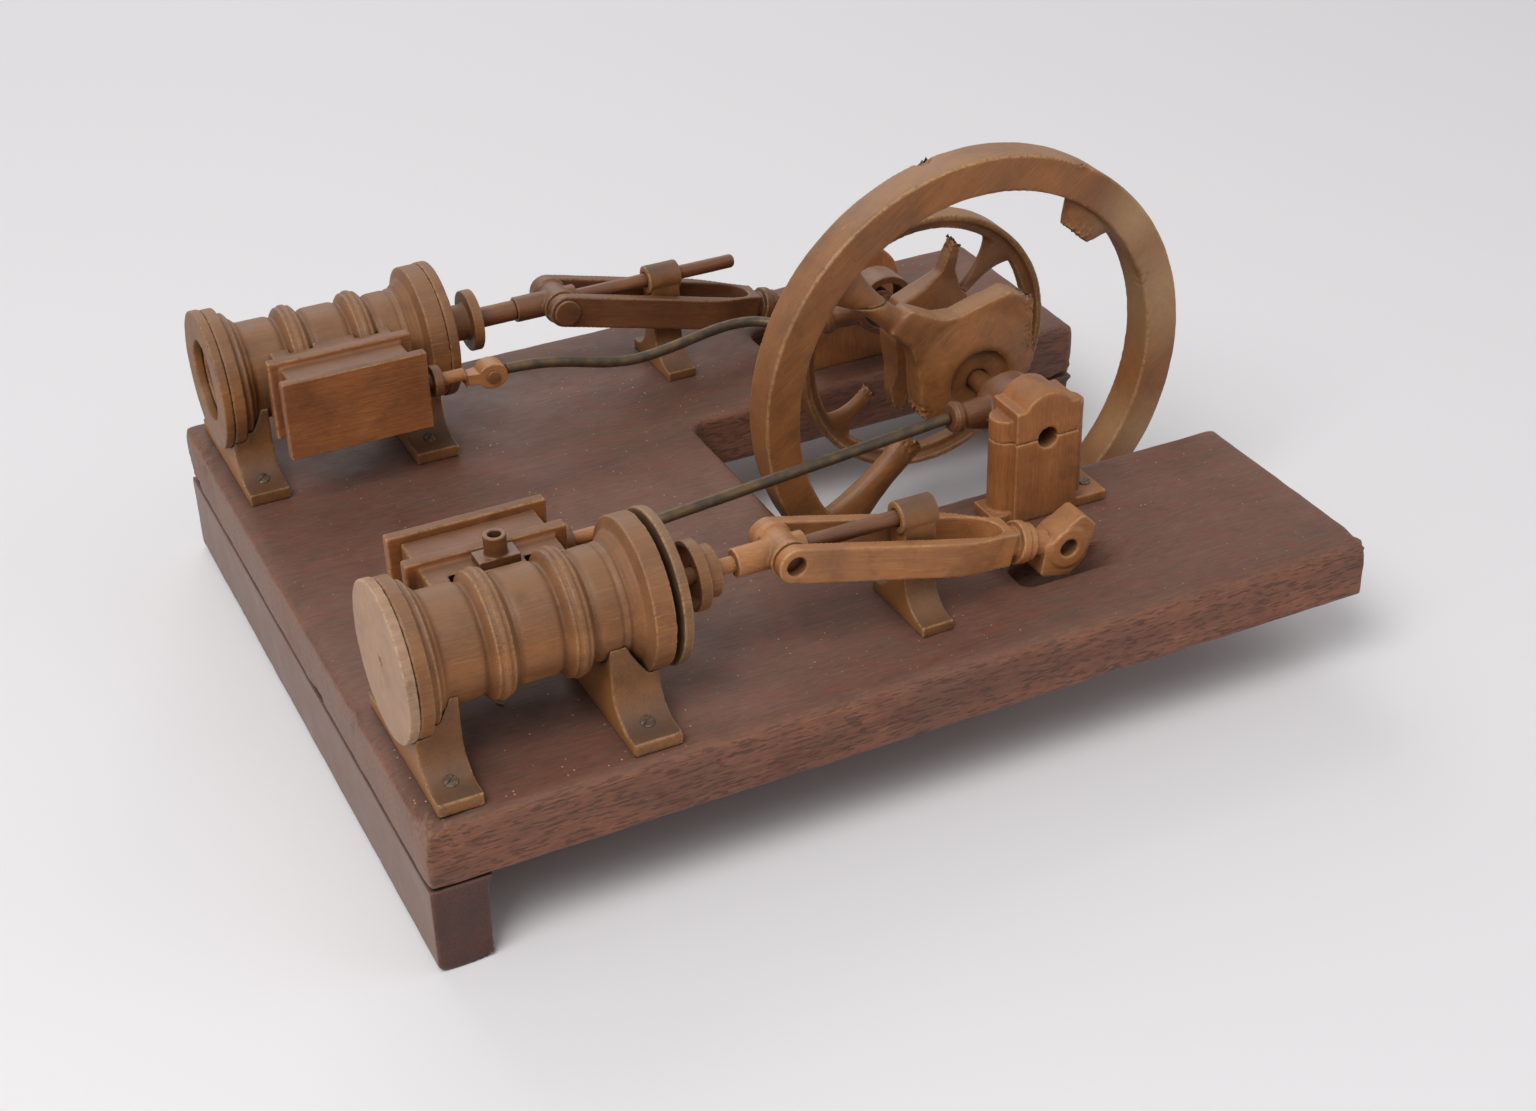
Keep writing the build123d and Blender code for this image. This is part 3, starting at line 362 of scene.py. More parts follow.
        # Each mask with the colour that it lays. One without a colour lightens and darkens what is there
        layers = [
            ("bands", self.body),
            ("fibres", self.light),
            ("pores", PORE_COLOUR),
            ("stains", self.stain),
            ("tone", ""),
            ("ends", self.end),
            # Painted shade in sheltered corners
            ("corner shade", CORNER_SHADE_COLOUR),
            ("dust", self.top),
        ]
        if self.patch:
            # Reddish patches where the dust was wiped off along the grain
            layers += [("wiped", self.patch), ("mottle", "")]
        layers += [
            ("bleached", BLEACHED_COLOUR),
            ("worn", self.wear),
            # Painted shade in concave creases
            ("crease shade", CREASE_SHADE_COLOUR),
            ("scuffs", self.wear),
        ]
        if self.speck_share:
            layers.append(("crumbs", CRUMB_COLOUR))
        colour: Any = linear(self.dark)
        for mask, laid in layers:
            inputs = {0: masks[mask], 6: colour, 7: linear(laid)} if laid else {0: 1.0, 6: colour, 7: masks[mask]}
            blend = "MIX" if laid else "MULTIPLY"
            colour = add_node(tree, "ShaderNodeMix", inputs, data_type="RGBA", blend_type=blend).outputs[2]
        return colour


@dataclass(frozen=True)
class MetalFinish:
    """A tarnished metal: its bare and its tarnished colour, and how dull it is."""

    name: str
    bare: str
    tarnish: str
    tarnish_share: float = 0.7
    roughness: float = 0.5
    patch_mm: float = 5.0

    def material(self) -> bpy.types.Material:
        """Builds the metal as a node material on Object coordinates.

        Returns:
            The finished material.
        """
        made = bpy.data.materials.new(self.name)
        made.use_nodes = True
        tree = made.node_tree
        tree.nodes.clear()
        place = add_node(tree, "ShaderNodeTexCoord").outputs["Object"]
        patch = add_node(
            tree, "ShaderNodeTexNoise", {"Vector": place, "Scale": 1 / (self.patch_mm * MM), "Detail": 6.0}
        ).outputs[0]
        low = 0.62 - self.tarnish_share * 0.3
        covered = add_node(tree, "ShaderNodeMapRange", {0: patch, 1: low - 0.14, 2: low + 0.14}).outputs[0]
        colour = add_node(
            tree,
            "ShaderNodeMix",
            {0: covered, 6: linear(self.bare), 7: linear(self.tarnish)},
            data_type="RGBA",
        ).outputs[2]
        shine = add_node(tree, "ShaderNodeMapRange", {0: covered, 3: 0.85, 4: 0.25}).outputs[0]
        bump = add_node(
            tree, "ShaderNodeBump", {"Height": patch, "Distance": 0.15 * MM, "Strength": 0.5}
        ).outputs[0]
        skin = add_node(
            tree,
            "ShaderNodeBsdfPrincipled",
            {"Base Color": colour, "Metallic": shine, "Roughness": self.roughness, "Normal": bump},
        )
        add_node(tree, "ShaderNodeOutputMaterial", {"Surface": skin.outputs[0]})
        return made


# Mahogany board: dark red brown, open pored, grey with dust on top and paler on its end grain
MAHOGANY_BOARD = WoodFinish(
    "oiled mahogany board", "#553425", "#7b4d38", "#8f614a", "#4f3c32", top_cover=0.74, end="#886e61",
    end_cover=0.6, wear="#8b6348", wear_amount=0.7, stain="#5c2a20", stain_cover=0.5, band_mm=16.0,
    fibre_mm=0.7, pore_mm=0.8, pore_run_mm=5.0, pore_share=0.4, pore_strength=0.5, speck_share=0.34,
    blotch_mm=34.0, roughness=0.68, coat=0.05, patch="#6f3a2c",
)
MAHOGANY_FOOT = WoodFinish(
    "mahogany foot moulding", "#33180f", "#522c20", "#694032", "#5a463c", end="#8a7064", end_cover=0.75,
    wear="#82594a", wear_amount=0.5, grain=Grain.ALONG_Y, band_mm=12.0, pore_share=0.4, pore_strength=0.5,
)
# Fruitwood: fine grained golden brown, oiled and handled until it darkened
PEAR_CYLINDER = WoodFinish(
    "turned pear cylinder", "#643b1d", "#8a5629", "#a3713d", "#705742", top_cover=0.7, top_from=0.15,
    end="#7a553a", end_cover=0.35, wear="#b8946a", wear_amount=0.7, band_mm=9.0, pore_strength=0.1,
)
PEAR_RAW = WoodFinish(
    "raw pear disc", "#8d6d52", "#a88468", "#bc9c80", "#97795e", top_cover=0.3, end="#b3927a", end_cover=0.5,
    wear="#cfb899", wear_amount=0.7, stain="#6b4c35", stain_cover=0.6, band_mm=5.0, pore_strength=0.1,
    roughness=0.78, coat=0.0,
)
PEAR_COVER = WoodFinish(
    "weathered pear cover", "#5d3f25", "#7f5835", "#9c744a", "#7a6550", top_cover=0.6, end="#80603f",
    end_cover=0.3, wear="#b5946a", wear_amount=0.8, band_mm=6.0, pore_strength=0.15,
)
PEAR_SADDLE = WoodFinish(
    "sawn pear saddle", "#5f3819", "#835327", "#9c6b38", "#4f3b2e", top_cover=0.92, top_from=0.05,
    end="#a36d3a", end_cover=0.6, stain="#5e3325", wear="#bd9866", wear_amount=0.7,
    grain=Grain.ALONG_Y, band_mm=8.0, pore_strength=0.12,
)
PEAR_CHEST = WoodFinish(
    "planed pear chest", "#653517", "#8a5024", "#a26a36", "#503e2f", top_cover=0.8, end="#7e5233",
    end_cover=0.2, wear="#b38b5c", wear_amount=0.8, band_mm=10.0, band_contrast=0.35, pore_strength=0.12,
)
PEAR_ROD = WoodFinish(
    "handled pear rod", "#532c15", "#774623", "#8f5d33", "#6e553c", top_cover=0.25, end="#6a4129",
    end_cover=0.3, wear="#a67c4e", wear_amount=0.8, band_mm=5.0, pore_strength=0.1, roughness=0.5, coat=0.15,
)
PEAR_FORK = WoodFinish(
    "carved pear fork", "#794825", "#a56a3a", "#ba824d", "#95714e", top_cover=0.35, end="#7a4f2f",
    end_cover=0.2, wear="#bd9668", wear_amount=0.9, grain=Grain.BIG_SLANT, band_mm=6.0, band_contrast=0.4,
    pore_strength=0.08, roughness=0.52, coat=0.14,
)
PEAR_FORK_DARK = WoodFinish(
    "darkened pear fork", "#4a2813", "#6b3f20", "#81532e", "#66492f", top_cover=0.35, end="#63402a",
    end_cover=0.2, wear="#a07a50", wear_amount=0.8, grain=Grain.BIG_SLANT, band_mm=6.0, band_contrast=0.4,
    pore_strength=0.08, roughness=0.5, coat=0.14,
)
PEAR_WHEEL = WoodFinish(
    "carved pear wheel", "#683c1a", "#8a5426", "#9c6c3a", "#94734f", top_cover=0.55, end="#8d6641",
    end_cover=0.15, wear="#c2a176", wear_amount=1.0, grain=Grain.ACROSS_WHEEL, band_mm=10.0,
    band_contrast=0.4, pore_strength=0.12, roughness=0.55, coat=0.12,
)
PEAR_PEDESTAL = WoodFinish(
    "split pear pedestal", "#76421d", "#9c5f2f", "#b37b42", "#7d5f42", top_cover=0.4, end="#855430",
    end_cover=0.2, wear="#b58b5a", wear_amount=0.8, grain=Grain.ALONG_Z, band_mm=7.0, band_contrast=0.45,
    pore_strength=0.15,
)
# Brass wire: gone dull and brown green where it was not handled
BRASS_ROD = MetalFinish("tarnished brass rod", "#735c40", "#42362a", 0.6, 0.5)
# Iron screws: blued once, now brown
IRON_SCREW = MetalFinish("rusted iron screw", "#84735f", "#4d3c2f", 0.55, 0.5, 1.5)


def select_only(piece: bpy.types.Object) -> None:
    """Leaves piece as the only selected and active object."""
    bpy.ops.object.select_all(action="DESELECT")
    piece.select_set(True)
    bpy.context.view_layer.objects.active = piece


def apply_modifier(piece: bpy.types.Object, kind: str, **settings: Any) -> None:
    """Adds a modifier to a piece and applies it.

    Args:
        piece: The piece that is changed.
        kind: The modifier's type.
        **settings: Properties of the modifier.
    """
    select_only(piece)
    modifier = piece.modifiers.new(kind.lower(), kind)
    for key, value in settings.items():
        setattr(modifier, key, value)
    bpy.ops.object.modifier_apply(modifier=modifier.name)


def dent_texture(name: str, size_mm: float) -> bpy.types.Texture:
    """A cloud texture for dents, made the first time it is asked for.

    Args:
        name: The texture's name.
        size_mm: The width of a lump.

    Returns:
        The texture.
    """
    found = bpy.data.textures.get(name)
    if found is None:
        found = bpy.data.textures.new(name, "CLOUDS")
        found.noise_scale = size_mm * MM
        found.noise_depth = 3
    return found


@dataclass(frozen=True)
class Break:
    """A torn or chipped place: where it is, how far it reaches and how deep it goes."""

    center: Vector
    reach_mm: float
    depth_mm: float
    splinter_mm: float = 1.2

    def tear(self, piece: bpy.types.Object) -> None:
        """Eats the surface away unevenly round the break.

        Args:
            piece: The piece that is broken here.
        """
        reach = self.reach_mm * MM
        grid = self.splinter_mm * MM
        for vertex in piece.data.vertices:
            away = (vertex.co - self.center).length
            if away < reach:
                share = 1 - (away / reach) ** 2
                rough = max(0.0, 0.6 + 0.8 * noise.fractal(vertex.co / grid, 0.6, 2.1, 3))
                vertex.co -= vertex.normal * self.depth_mm * MM * share * rough


@dataclass
class WornPiece:
    """A CAD node's shape with its corners worn round and its faces a little uneven."""

    node: str
    finish: WoodFinish | MetalFinish
    voxel_mm: float = 0.6
    rounding: int = 2
    unevenness_mm: float = 0.25
    breaks: tuple[Break, ...] = ()
    shape: Callable[[Vector], Vector] | None = None
    bleached: tuple[tuple[Vector, float], ...] = ()

    def fade(self, piece: bpy.types.Object) -> None:
        """Writes how far each place is bleached, for the wood's shader.

        Args:
            piece: The piece that is bleached round each place in bleached.
        """
        faded = piece.data.attributes.new("bleached", "FLOAT", "POINT")
        for vertex in piece.data.vertices:
            shares = (1 - (vertex.co - center).length / (reach * MM) for center, reach in self.bleached)
            faded.data[vertex.index].value = max(0.0, *shares, 0.0)

    def build(self, workshop: Workshop) -> bpy.types.Object:
        """Makes the worn piece in its node's place.

        Args:
            workshop: The workshop that holds the frame and the materials.

        Returns:
            The new piece, riding on its node's body.
        """
        piece = workshop.copy_of(self.node)
        apply_modifier(piece, "REMESH", mode="VOXEL", voxel_size=self.voxel_mm * MM, adaptivity=0.0)
        apply_modifier(piece, "SMOOTH", factor=0.5, iterations=self.rounding)
        if self.unevenness_mm:
            apply_modifier(
                piece,
                "DISPLACE",
                texture=dent_texture("dents", 9.0),
                texture_coords="LOCAL",
                strength=self.unevenness_mm * MM,
                mid_level=0.5,
            )
        if self.shape:
            for vertex in piece.data.vertices:
                vertex.co = self.shape(vertex.co)
        for torn in self.breaks:
            torn.tear(piece)
        if self.bleached:
            self.fade(piece)
        select_only(piece)
        bpy.ops.object.shade_smooth()
        workshop.dress(piece, self.finish)
        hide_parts(self.node)
        workshop.seat(piece, self.node)
        return piece


@dataclass
class Workshop:
    """Holds the loaded frame and the materials made so far."""

    frame: dict[str, Any]
    materials: dict[str, bpy.types.Material] = field(default_factory=dict)

    @property
    def nodes(self) -> dict[str, bpy.types.Object]:
        """The CAD nodes by name."""
        return self.frame["nodes"]

    def copy_of(self, node: str) -> bpy.types.Object:
        """Copies a CAD node and merges the copy's seams.

        Args:
            node: The node's name.

        Returns:
            The free copy.
        """
        source = self.nodes[node]
        piece = source.copy()
        piece.data = source.data.copy()
        for key in list(piece.keys()):
            del piece[key]
        piece.parent = None
        piece.name = f"worn_{node}"
        bpy.context.scene.collection.objects.link(piece)
        select_only(piece)
        bpy.ops.object.mode_set(mode="EDIT")
        bpy.ops.mesh.select_all(action="SELECT")
        bpy.ops.mesh.remove_doubles(threshold=SEAM_M)
        bpy.ops.object.mode_set(mode="OBJECT")
        return piece

    def material(self, finish: WoodFinish | MetalFinish) -> bpy.types.Material:
        """The material of a finish, made the first time it is asked for."""
        if finish.name not in self.materials:
            self.materials[finish.name] = finish.material()
        return self.materials[finish.name]

    def dress(self, piece: bpy.types.Object, finish: WoodFinish | MetalFinish) -> None:
        """Gives piece one finish all over."""
        piece.data.materials.clear()
        piece.data.materials.append(self.material(finish))

    def body_of(self, node: str) -> str:
        """The body that a node belongs to."""
        bodies = self.frame["record"]["behaviour"]["bodies"]
        return next(body for body, members in bodies.items() if node in members)

    def seat(self, piece: bpy.types.Object, node: str) -> None:
        """Lets a piece ride with a node's body.

        Args:
            piece: The finished piece.
            node: The node that it belongs to.
        """
        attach(piece, self.body_of(node))
        log.info("%s on %s", piece.name, self.body_of(node))


@dataclass
class WoodScrew:
    """A slotted countersunk screw head, a little below or above the wood."""

    name: str
    place: Vector
    node: str
    head_mm: float = 4.8
    turn_deg: float = 30.0
    lean_deg: float = 0.0

    def build(self, workshop: Workshop) -> bpy.types.Object:
        """Makes the head as a disc with bevelled edges, with its slot cut out by a box.

        Args:
            workshop: The workshop that holds the frame and the materials.

        Returns:
            The screw head.
        """
        radius = self.head_mm / 2 * MM
        bpy.ops.object.select_all(action="DESELECT")
        bpy.ops.mesh.primitive_cylinder_add(vertices=32, radius=radius, depth=1.0 * MM, location=(0, 0, 0))
        head = bpy.context.object
        head.name = self.name
        apply_modifier(head, "BEVEL", width=0.3 * MM, segments=3, limit_method="ANGLE")
        bpy.ops.mesh.primitive_cube_add(size=1, location=(0, 0, 0.45 * MM))
        blade = bpy.context.object
        blade.scale = (self.head_mm * 1.2 * MM, 0.75 * MM, 0.8 * MM)
        select_only(blade)
        bpy.ops.object.transform_apply(location=True, rotation=True, scale=True)
        apply_modifier(head, "BOOLEAN", object=blade, operation="DIFFERENCE", solver="EXACT")
        bpy.data.objects.remove(blade)
        tilt = Matrix.Rotation(math.radians(self.lean_deg), 4, "X")
        turn = Matrix.Rotation(math.radians(self.turn_deg), 4, "Z")
        head.data.transform(Matrix.Translation(self.place) @ tilt @ turn)
        select_only(head)
        bpy.ops.object.shade_smooth_by_angle(angle=math.radians(SMOOTH_ANGLE_DEG))
        workshop.dress(head, IRON_SCREW)
        workshop.seat(head, self.node)
        return head


@dataclass
class PinHead:
    """The domed head of a turned pin that stands a little proud of its wood."""

    name: str
    place: Vector
    node: str
    radius_mm: float
    rise_mm: float = 0.9

    def build(self, workshop: Workshop) -> bpy.types.Object:
        """Makes the head, facing the near side.

        Args:
            workshop: The workshop that holds the frame and the materials.

        Returns:
            The pin head.
        """
        bpy.ops.object.select_all(action="DESELECT")
        depth = 2 * self.rise_mm * MM
        radius = self.radius_mm * MM
        bpy.ops.mesh.primitive_cylinder_add(vertices=40, radius=radius, depth=depth, location=(0, 0, 0))
        head = bpy.context.object
        head.name = self.name
        apply_modifier(head, "BEVEL", width=0.45 * self.rise_mm * MM, segments=4, limit_method="ANGLE")
        head.data.transform(Matrix.Translation(self.place) @ Matrix.Rotation(math.radians(90), 4, "X"))
        select_only(head)
        bpy.ops.object.shade_smooth_by_angle(angle=math.radians(SMOOTH_ANGLE_DEG))
        workshop.dress(head, PEAR_ROD)
        workshop.seat(head, self.node)
        return head


@dataclass
class Sliver:
    """A thin curled shaving that lies on the board."""

    name: str
    place: Vector
    length_mm: float
    turn_deg: float

    def build(self, workshop: Workshop) -> bpy.types.Object:
        """Bends a thin strip into a shaving and lays it down.

        Args:
            workshop: The workshop that holds the frame and the materials.

        Returns:
            The shaving.
        """
        bpy.ops.object.select_all(action="DESELECT")
        bpy.ops.mesh.primitive_cube_add(size=1, location=(0, 0, 0))
        strip = bpy.context.object
        strip.name = self.name
        strip.scale = (self.length_mm * MM, 0.7 * MM, 0.35 * MM)
        bpy.ops.object.transform_apply(location=True, rotation=True, scale=True)
        bpy.ops.object.mode_set(mode="EDIT")
        bpy.ops.mesh.select_all(action="SELECT")
        bpy.ops.mesh.subdivide(number_cuts=6)
        bpy.ops.object.mode_set(mode="OBJECT")
        half = self.length_mm / 2 * MM
        for vertex in strip.data.vertices:
            share = vertex.co.x / half
            vertex.co.y = vertex.co.y * (1 - 0.7 * abs(share)) + 0.18 * half * share**2
            vertex.co.z += 0.3 * MM + 0.12 * half * share**2
        turn = Matrix.Rotation(math.radians(self.turn_deg), 4, "Z")
        strip.data.transform(Matrix.Translation(self.place) @ turn)
        select_only(strip)
        bpy.ops.object.shade_smooth()
        workshop.dress(strip, PEAR_RAW)
        workshop.seat(strip, "baseboard")
        return strip


@dataclass
class Baseboard:
    """The slotted board and its two feet."""

    chip_inset_mm: float = 2.0
    board_voxel_mm: float = 1.9
    foot_voxel_mm: float = 1.2

    def build(self, workshop: Workshop) -> None:
        """Dresses the board and its feet and lays a few shavings on the board.

        Args:
            workshop: The workshop that holds the frame and the materials.
        """
        low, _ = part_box("left_batten_foot")
        corner = Break(Vector((low[0] + 18 * MM, low[1] + self.chip_inset_mm * MM, 3 * MM)), 7, 1.0)
        WornPiece("left_batten_foot", MAHOGANY_FOOT, self.foot_voxel_mm, 2, 0.3, (corner,)).build(workshop)
        WornPiece("far_right_foot", MAHOGANY_FOOT, self.foot_voxel_mm, 2, 0.3).build(workshop)
        low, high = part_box("baseboard")
        left, right, under, top = low[0], high[0], low[2], high[2]
        edge = low[1] + self.chip_inset_mm * MM
        # Chips along the board's edges: place, reach, depth and size of the splinters
        chips = (
            Break(Vector((left + self.chip_inset_mm * MM, edge, top)), 14, 2.0, 4.0),
            Break(Vector((left, -72 * MM, top)), 10, 1.2, 3.0),
            Break(Vector((left, 115 * MM, top)), 16, 1.8, 4.0),
            Break(Vector((left, 139 * MM, under)), 12, 1.6, 4.0),
            Break(Vector((left, -30 * MM, under)), 9, 1.0, 3.0),
            Break(Vector((71 * MM, edge, under)), 8, 1.2, 3.0),
            Break(Vector((right, edge, top)), 10, 1.2, 3.0),
            Break(Vector((-31 * MM, edge, top)), 5, 0.7, 2.0),
            Break(Vector((right, 52 * MM, under)), 10, 1.5, 3.0),
        )
        WornPiece("baseboard", MAHOGANY_BOARD, self.board_voxel_mm, 3, 0.5, chips).build(workshop)
        Sliver("yellow_shaving", Vector((-91.5 * MM, -134.5 * MM, top)), 5.5, 35).build(workshop)
        Sliver("pale_shaving", Vector((-133.5 * MM, -92.5 * MM, top)), 3.2, -50).build(workshop)


@dataclass
class EngineSide:
    """One engine from its cylinder to its valve gear."""

    side: str
    cover_finish: WoodFinish
    front_finish: WoodFinish
    turned_from_mm: float = 17.0
    eye_length_mm: float = 16.0
    eye_rise_mm: float = 4.5
    pin_from_mm: float = 10.2
    pin_radius_mm: float = 2.5
    screw_inset_mm: float = 9.0
    screw_rise_mm: float = 5.8
    screw_lean_deg: float = 22.0

    def build(self, workshop: Workshop) -> None:
        """Dresses each wooden piece of the engine and its brass rod.

        Args:
            workshop: The workshop that holds the frame and the materials.
        """
        near = self.side == "near"
        fork = PEAR_FORK if near else PEAR_FORK_DARK
        # Each wooden piece with its finish and the size of its facets in millimetres
        parts = [
            ("rear_cover", self.cover_finish, 0.6),
            ("front_cover", self.front_finish, 0.6),
            ("gland", PEAR_CYLINDER, 0.42),
            ("rear_saddle", PEAR_SADDLE, 0.6),
            ("front_saddle", PEAR_SADDLE, 0.6),
            ("steam_chest", PEAR_CHEST, 0.65),
            ("chest_cover", PEAR_CHEST, 0.6),
            ("valve_gland", PEAR_ROD, 0.35),
            ("piston_rod", PEAR_FORK if near else PEAR_ROD, 0.45),
            ("crosshead", fork, 0.42),
            ("guide_rod", PEAR_ROD, 0.42),
            ("guide_bracket", PEAR_SADDLE, 0.48),
            ("connecting_rod", fork, 0.5),
            ("eccentric_strap", PEAR_ROD, 0.42),
        ]
        for part, finish, voxel in parts:
            WornPiece(f"{self.side}_{part}", finish, voxel).build(workshop)
        WornPiece(f"{self.side}_eccentric_rod", BRASS_ROD, 0.42, 2, 0.2).build(workshop)
        if near:
            WornPiece("near_inlet", PEAR_ROD, 0.3, 2, 0.1).build(workshop)
        self.cylinder(workshop)
        self.clevis(workshop)
        self.screws(workshop)

    def cylinder(self, workshop: Workshop) -> None:
        """Dresses the cylinder and cuts the fine turned lines beside its beads and flanges.

        Args:
            workshop: The workshop that holds the frame and the materials.
        """
        node = f"{self.side}_cylinder"
        low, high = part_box(node)
        center = Vector((low[0], (low[1] + high[1]) / 2, (low[2] + high[2]) / 2))

        def cut(place: Vector) -> Vector:
            """Moves a place on the outside towards the axis where a line is cut.

            Args:
                place: The place on the cylinder.

            Returns:
                The place after the cut.
            """
            out = Vector((0, place.y - center.y, place.z - center.z))
            run = (place.x - center.x) / MM
            if out.length < self.turned_from_mm * MM:
                return place
            depth = sum(deep * math.exp(-(((run - at) / wide) ** 2)) for at, deep, wide in TURNED_LINES_MM)
            return place - out.normalized() * depth * MM

        WornPiece(node, PEAR_CYLINDER, 0.57, 1, 0.2, shape=cut).build(workshop)

    def clevis(self, workshop: Workshop) -> None:
        """Rounds the clevis into an eye on a neck and sets its pin head.

        Args:
            workshop: The workshop that holds the frame and the materials.
        """
        node = f"{self.side}_valve_clevis"
        low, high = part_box(node)
        start = high[0] - self.eye_length_mm * MM
        y = (low[1] + high[1]) / 2
        z = low[2] + self.eye_rise_mm * MM

        def rounded(place: Vector) -> Vector:
            """Narrows the neck and rounds the end.

            Args:
                place: The place on the clevis.

            Returns:
                The place after the rounding.
            """
            share = (place.x - start) / (self.eye_length_mm * MM)
            if share < 0:
                return place
            eye = math.sqrt(max(0.0, 1 - ((share - 0.64) / 0.37) ** 2))
            tall = max(0.5 if share < 0.5 else 0.1, 1.12 * eye)
            deep = 0.55 + 0.4 * min(1.0, share / 0.4)
            return Vector((place.x, y + (place.y - y) * deep, z + (place.z - z) * tall))

        WornPiece(node, PEAR_FORK, 0.35, 3, 0.1, shape=rounded).build(workshop)
        spot = Vector((start + self.pin_from_mm * MM, low[1], z))
        PinHead(f"{self.side}_clevis_pin", spot, node, self.pin_radius_mm).build(workshop)

    def screws(self, workshop: Workshop) -> None:
        """Sets a screw in each saddle foot.

        Args:
            workshop: The workshop that holds the frame and the materials.
        """
        for place in ("rear_saddle", "front_saddle"):
            node = f"{self.side}_{place}"
            low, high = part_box(node)
            for number, (edge, into) in enumerate(((low[1], 1), (high[1], -1))):
                x = (low[0] + high[0]) / 2
                y = edge + into * self.screw_inset_mm * MM
                spot = Vector((x, y, low[2] + self.screw_rise_mm * MM))
                turn = 35 + 40 * number
                lean = into * self.screw_lean_deg
                name = f"{node}_screw_{number + 1}"
                WoodScrew(name, spot, node, turn_deg=turn, lean_deg=lean).build(workshop)


def on_wheel(radius_mm: float, angle_deg: float, y_mm: float, drop_mm: float = 0.0) -> Vector:
    """A place on a wheel, by its radius and angle from the shaft.

    Args:
        radius_mm: Distance from the shaft.
        angle_deg: Angle from +X towards +Z.
        y_mm: Place along the shaft.
        drop_mm: How far the wheel's middle lies under the shaft.

    Returns:
        The place in metres.
    """
    turn = math.radians(angle_deg)
    x = SHAFT_X_MM + radius_mm * math.cos(turn)
    z = SHAFT_Z_MM - drop_mm + radius_mm * math.sin(turn)
    return Vector((x, y_mm, z)) * MM


@dataclass
class ShaftSet:
    """The pedestals, the crankshaft and the two wheels."""

    flywheel_y_mm: float = -20.5
    second_y_mm: float = 17.5
    second_drop_mm: float = 2.5
    screw_inset_mm: float = 4.5
    screw_rise_mm: float = 4.4

    def build(self, workshop: Workshop) -> None:
        """Dresses the pedestals, the shaft and the wheels, with their breaks.

        Args:
            workshop: The workshop that holds the frame and the materials.
        """
        for node in ("near_pedestal_base", "near_pedestal_cap", "far_pedestal_base", "far_pedestal_cap"):
            WornPiece(node, PEAR_PEDESTAL, 0.55).build(workshop)
        WornPiece("crankshaft", PEAR_ROD, 0.45).build(workshop)
        self.flywheel(workshop)
        self.second_wheel(workshop)
        low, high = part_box("near_pedestal_base")
        x = high[0] - self.screw_inset_mm * MM
        spot = Vector((x, (low[1] + high[1]) / 2, low[2] + self.screw_rise_mm * MM))
        WoodScrew("near_pedestal_screw", spot, "near_pedestal_base", turn_deg=60).build(workshop)

    def flywheel(self, workshop: Workshop) -> None:
        """Dresses the rim with its spoke ends, and what is left of the hub.

        Args:
            workshop: The workshop that holds the frame and the materials.
        """
        y = self.flywheel_y_mm
        rim_breaks = (
            Break(on_wheel(33, 222, y), 9, 1.5),
            Break(on_wheel(65, 48, y), 9, 1.3),
            Break(on_wheel(88, 101.6, y + 6.5), 3.6, 2.4, 1.6),
            Break(on_wheel(88, 62, y - 6), 5, 0.9, 0.8),
            Break(on_wheel(75, 20, y - 6), 6, 0.7, 0.8),
        )
        # Each bleached place on the rim with its reach in millimetres
        bleached = (
            (on_wheel(84, 14, y), 34),
            (on_wheel(84, 38, y - 5), 22),
            (on_wheel(86, 330, y - 5), 22),
        )
        WornPiece("flywheel_rim", PEAR_WHEEL, 0.75, 1, 0.35, rim_breaks, bleached=bleached).build(workshop)
        hub_breaks = (
            Break(on_wheel(37, 47, y), 9, 1.5),
            Break(on_wheel(27, 22, y), 10, 1.2),
            Break(on_wheel(26, 205, y), 9, 1.4),
            Break(on_wheel(20, 240, y), 9, 1.3),
            Break(on_wheel(19, 300, y), 9, 1.2),
        )
        WornPiece("flywheel_hub", PEAR_WHEEL, 0.6, 22, 0.5, hub_breaks).build(workshop)

    def second_wheel(self, workshop: Workshop) -> None:
        """Dresses the ribbed rim with its two spokes, and the hub's two arms.

        Args:
            workshop: The workshop that holds the frame and the materials.
        """
        y, drop = self.second_y_mm, self.second_drop_mm
        rim_breaks = (Break(on_wheel(27, 218, y, drop), 6, 1.1),)
        WornPiece("second_wheel_rim", PEAR_WHEEL, 0.62, 3, 0.3, rim_breaks).build(workshop)
        hub_breaks = (Break(on_wheel(38, 68, y), 6, 1.2), Break(on_wheel(31, 250, y), 6, 1.1))
        WornPiece("second_wheel_hub", PEAR_WHEEL, 0.55, 14, 0.4, hub_breaks).build(workshop)


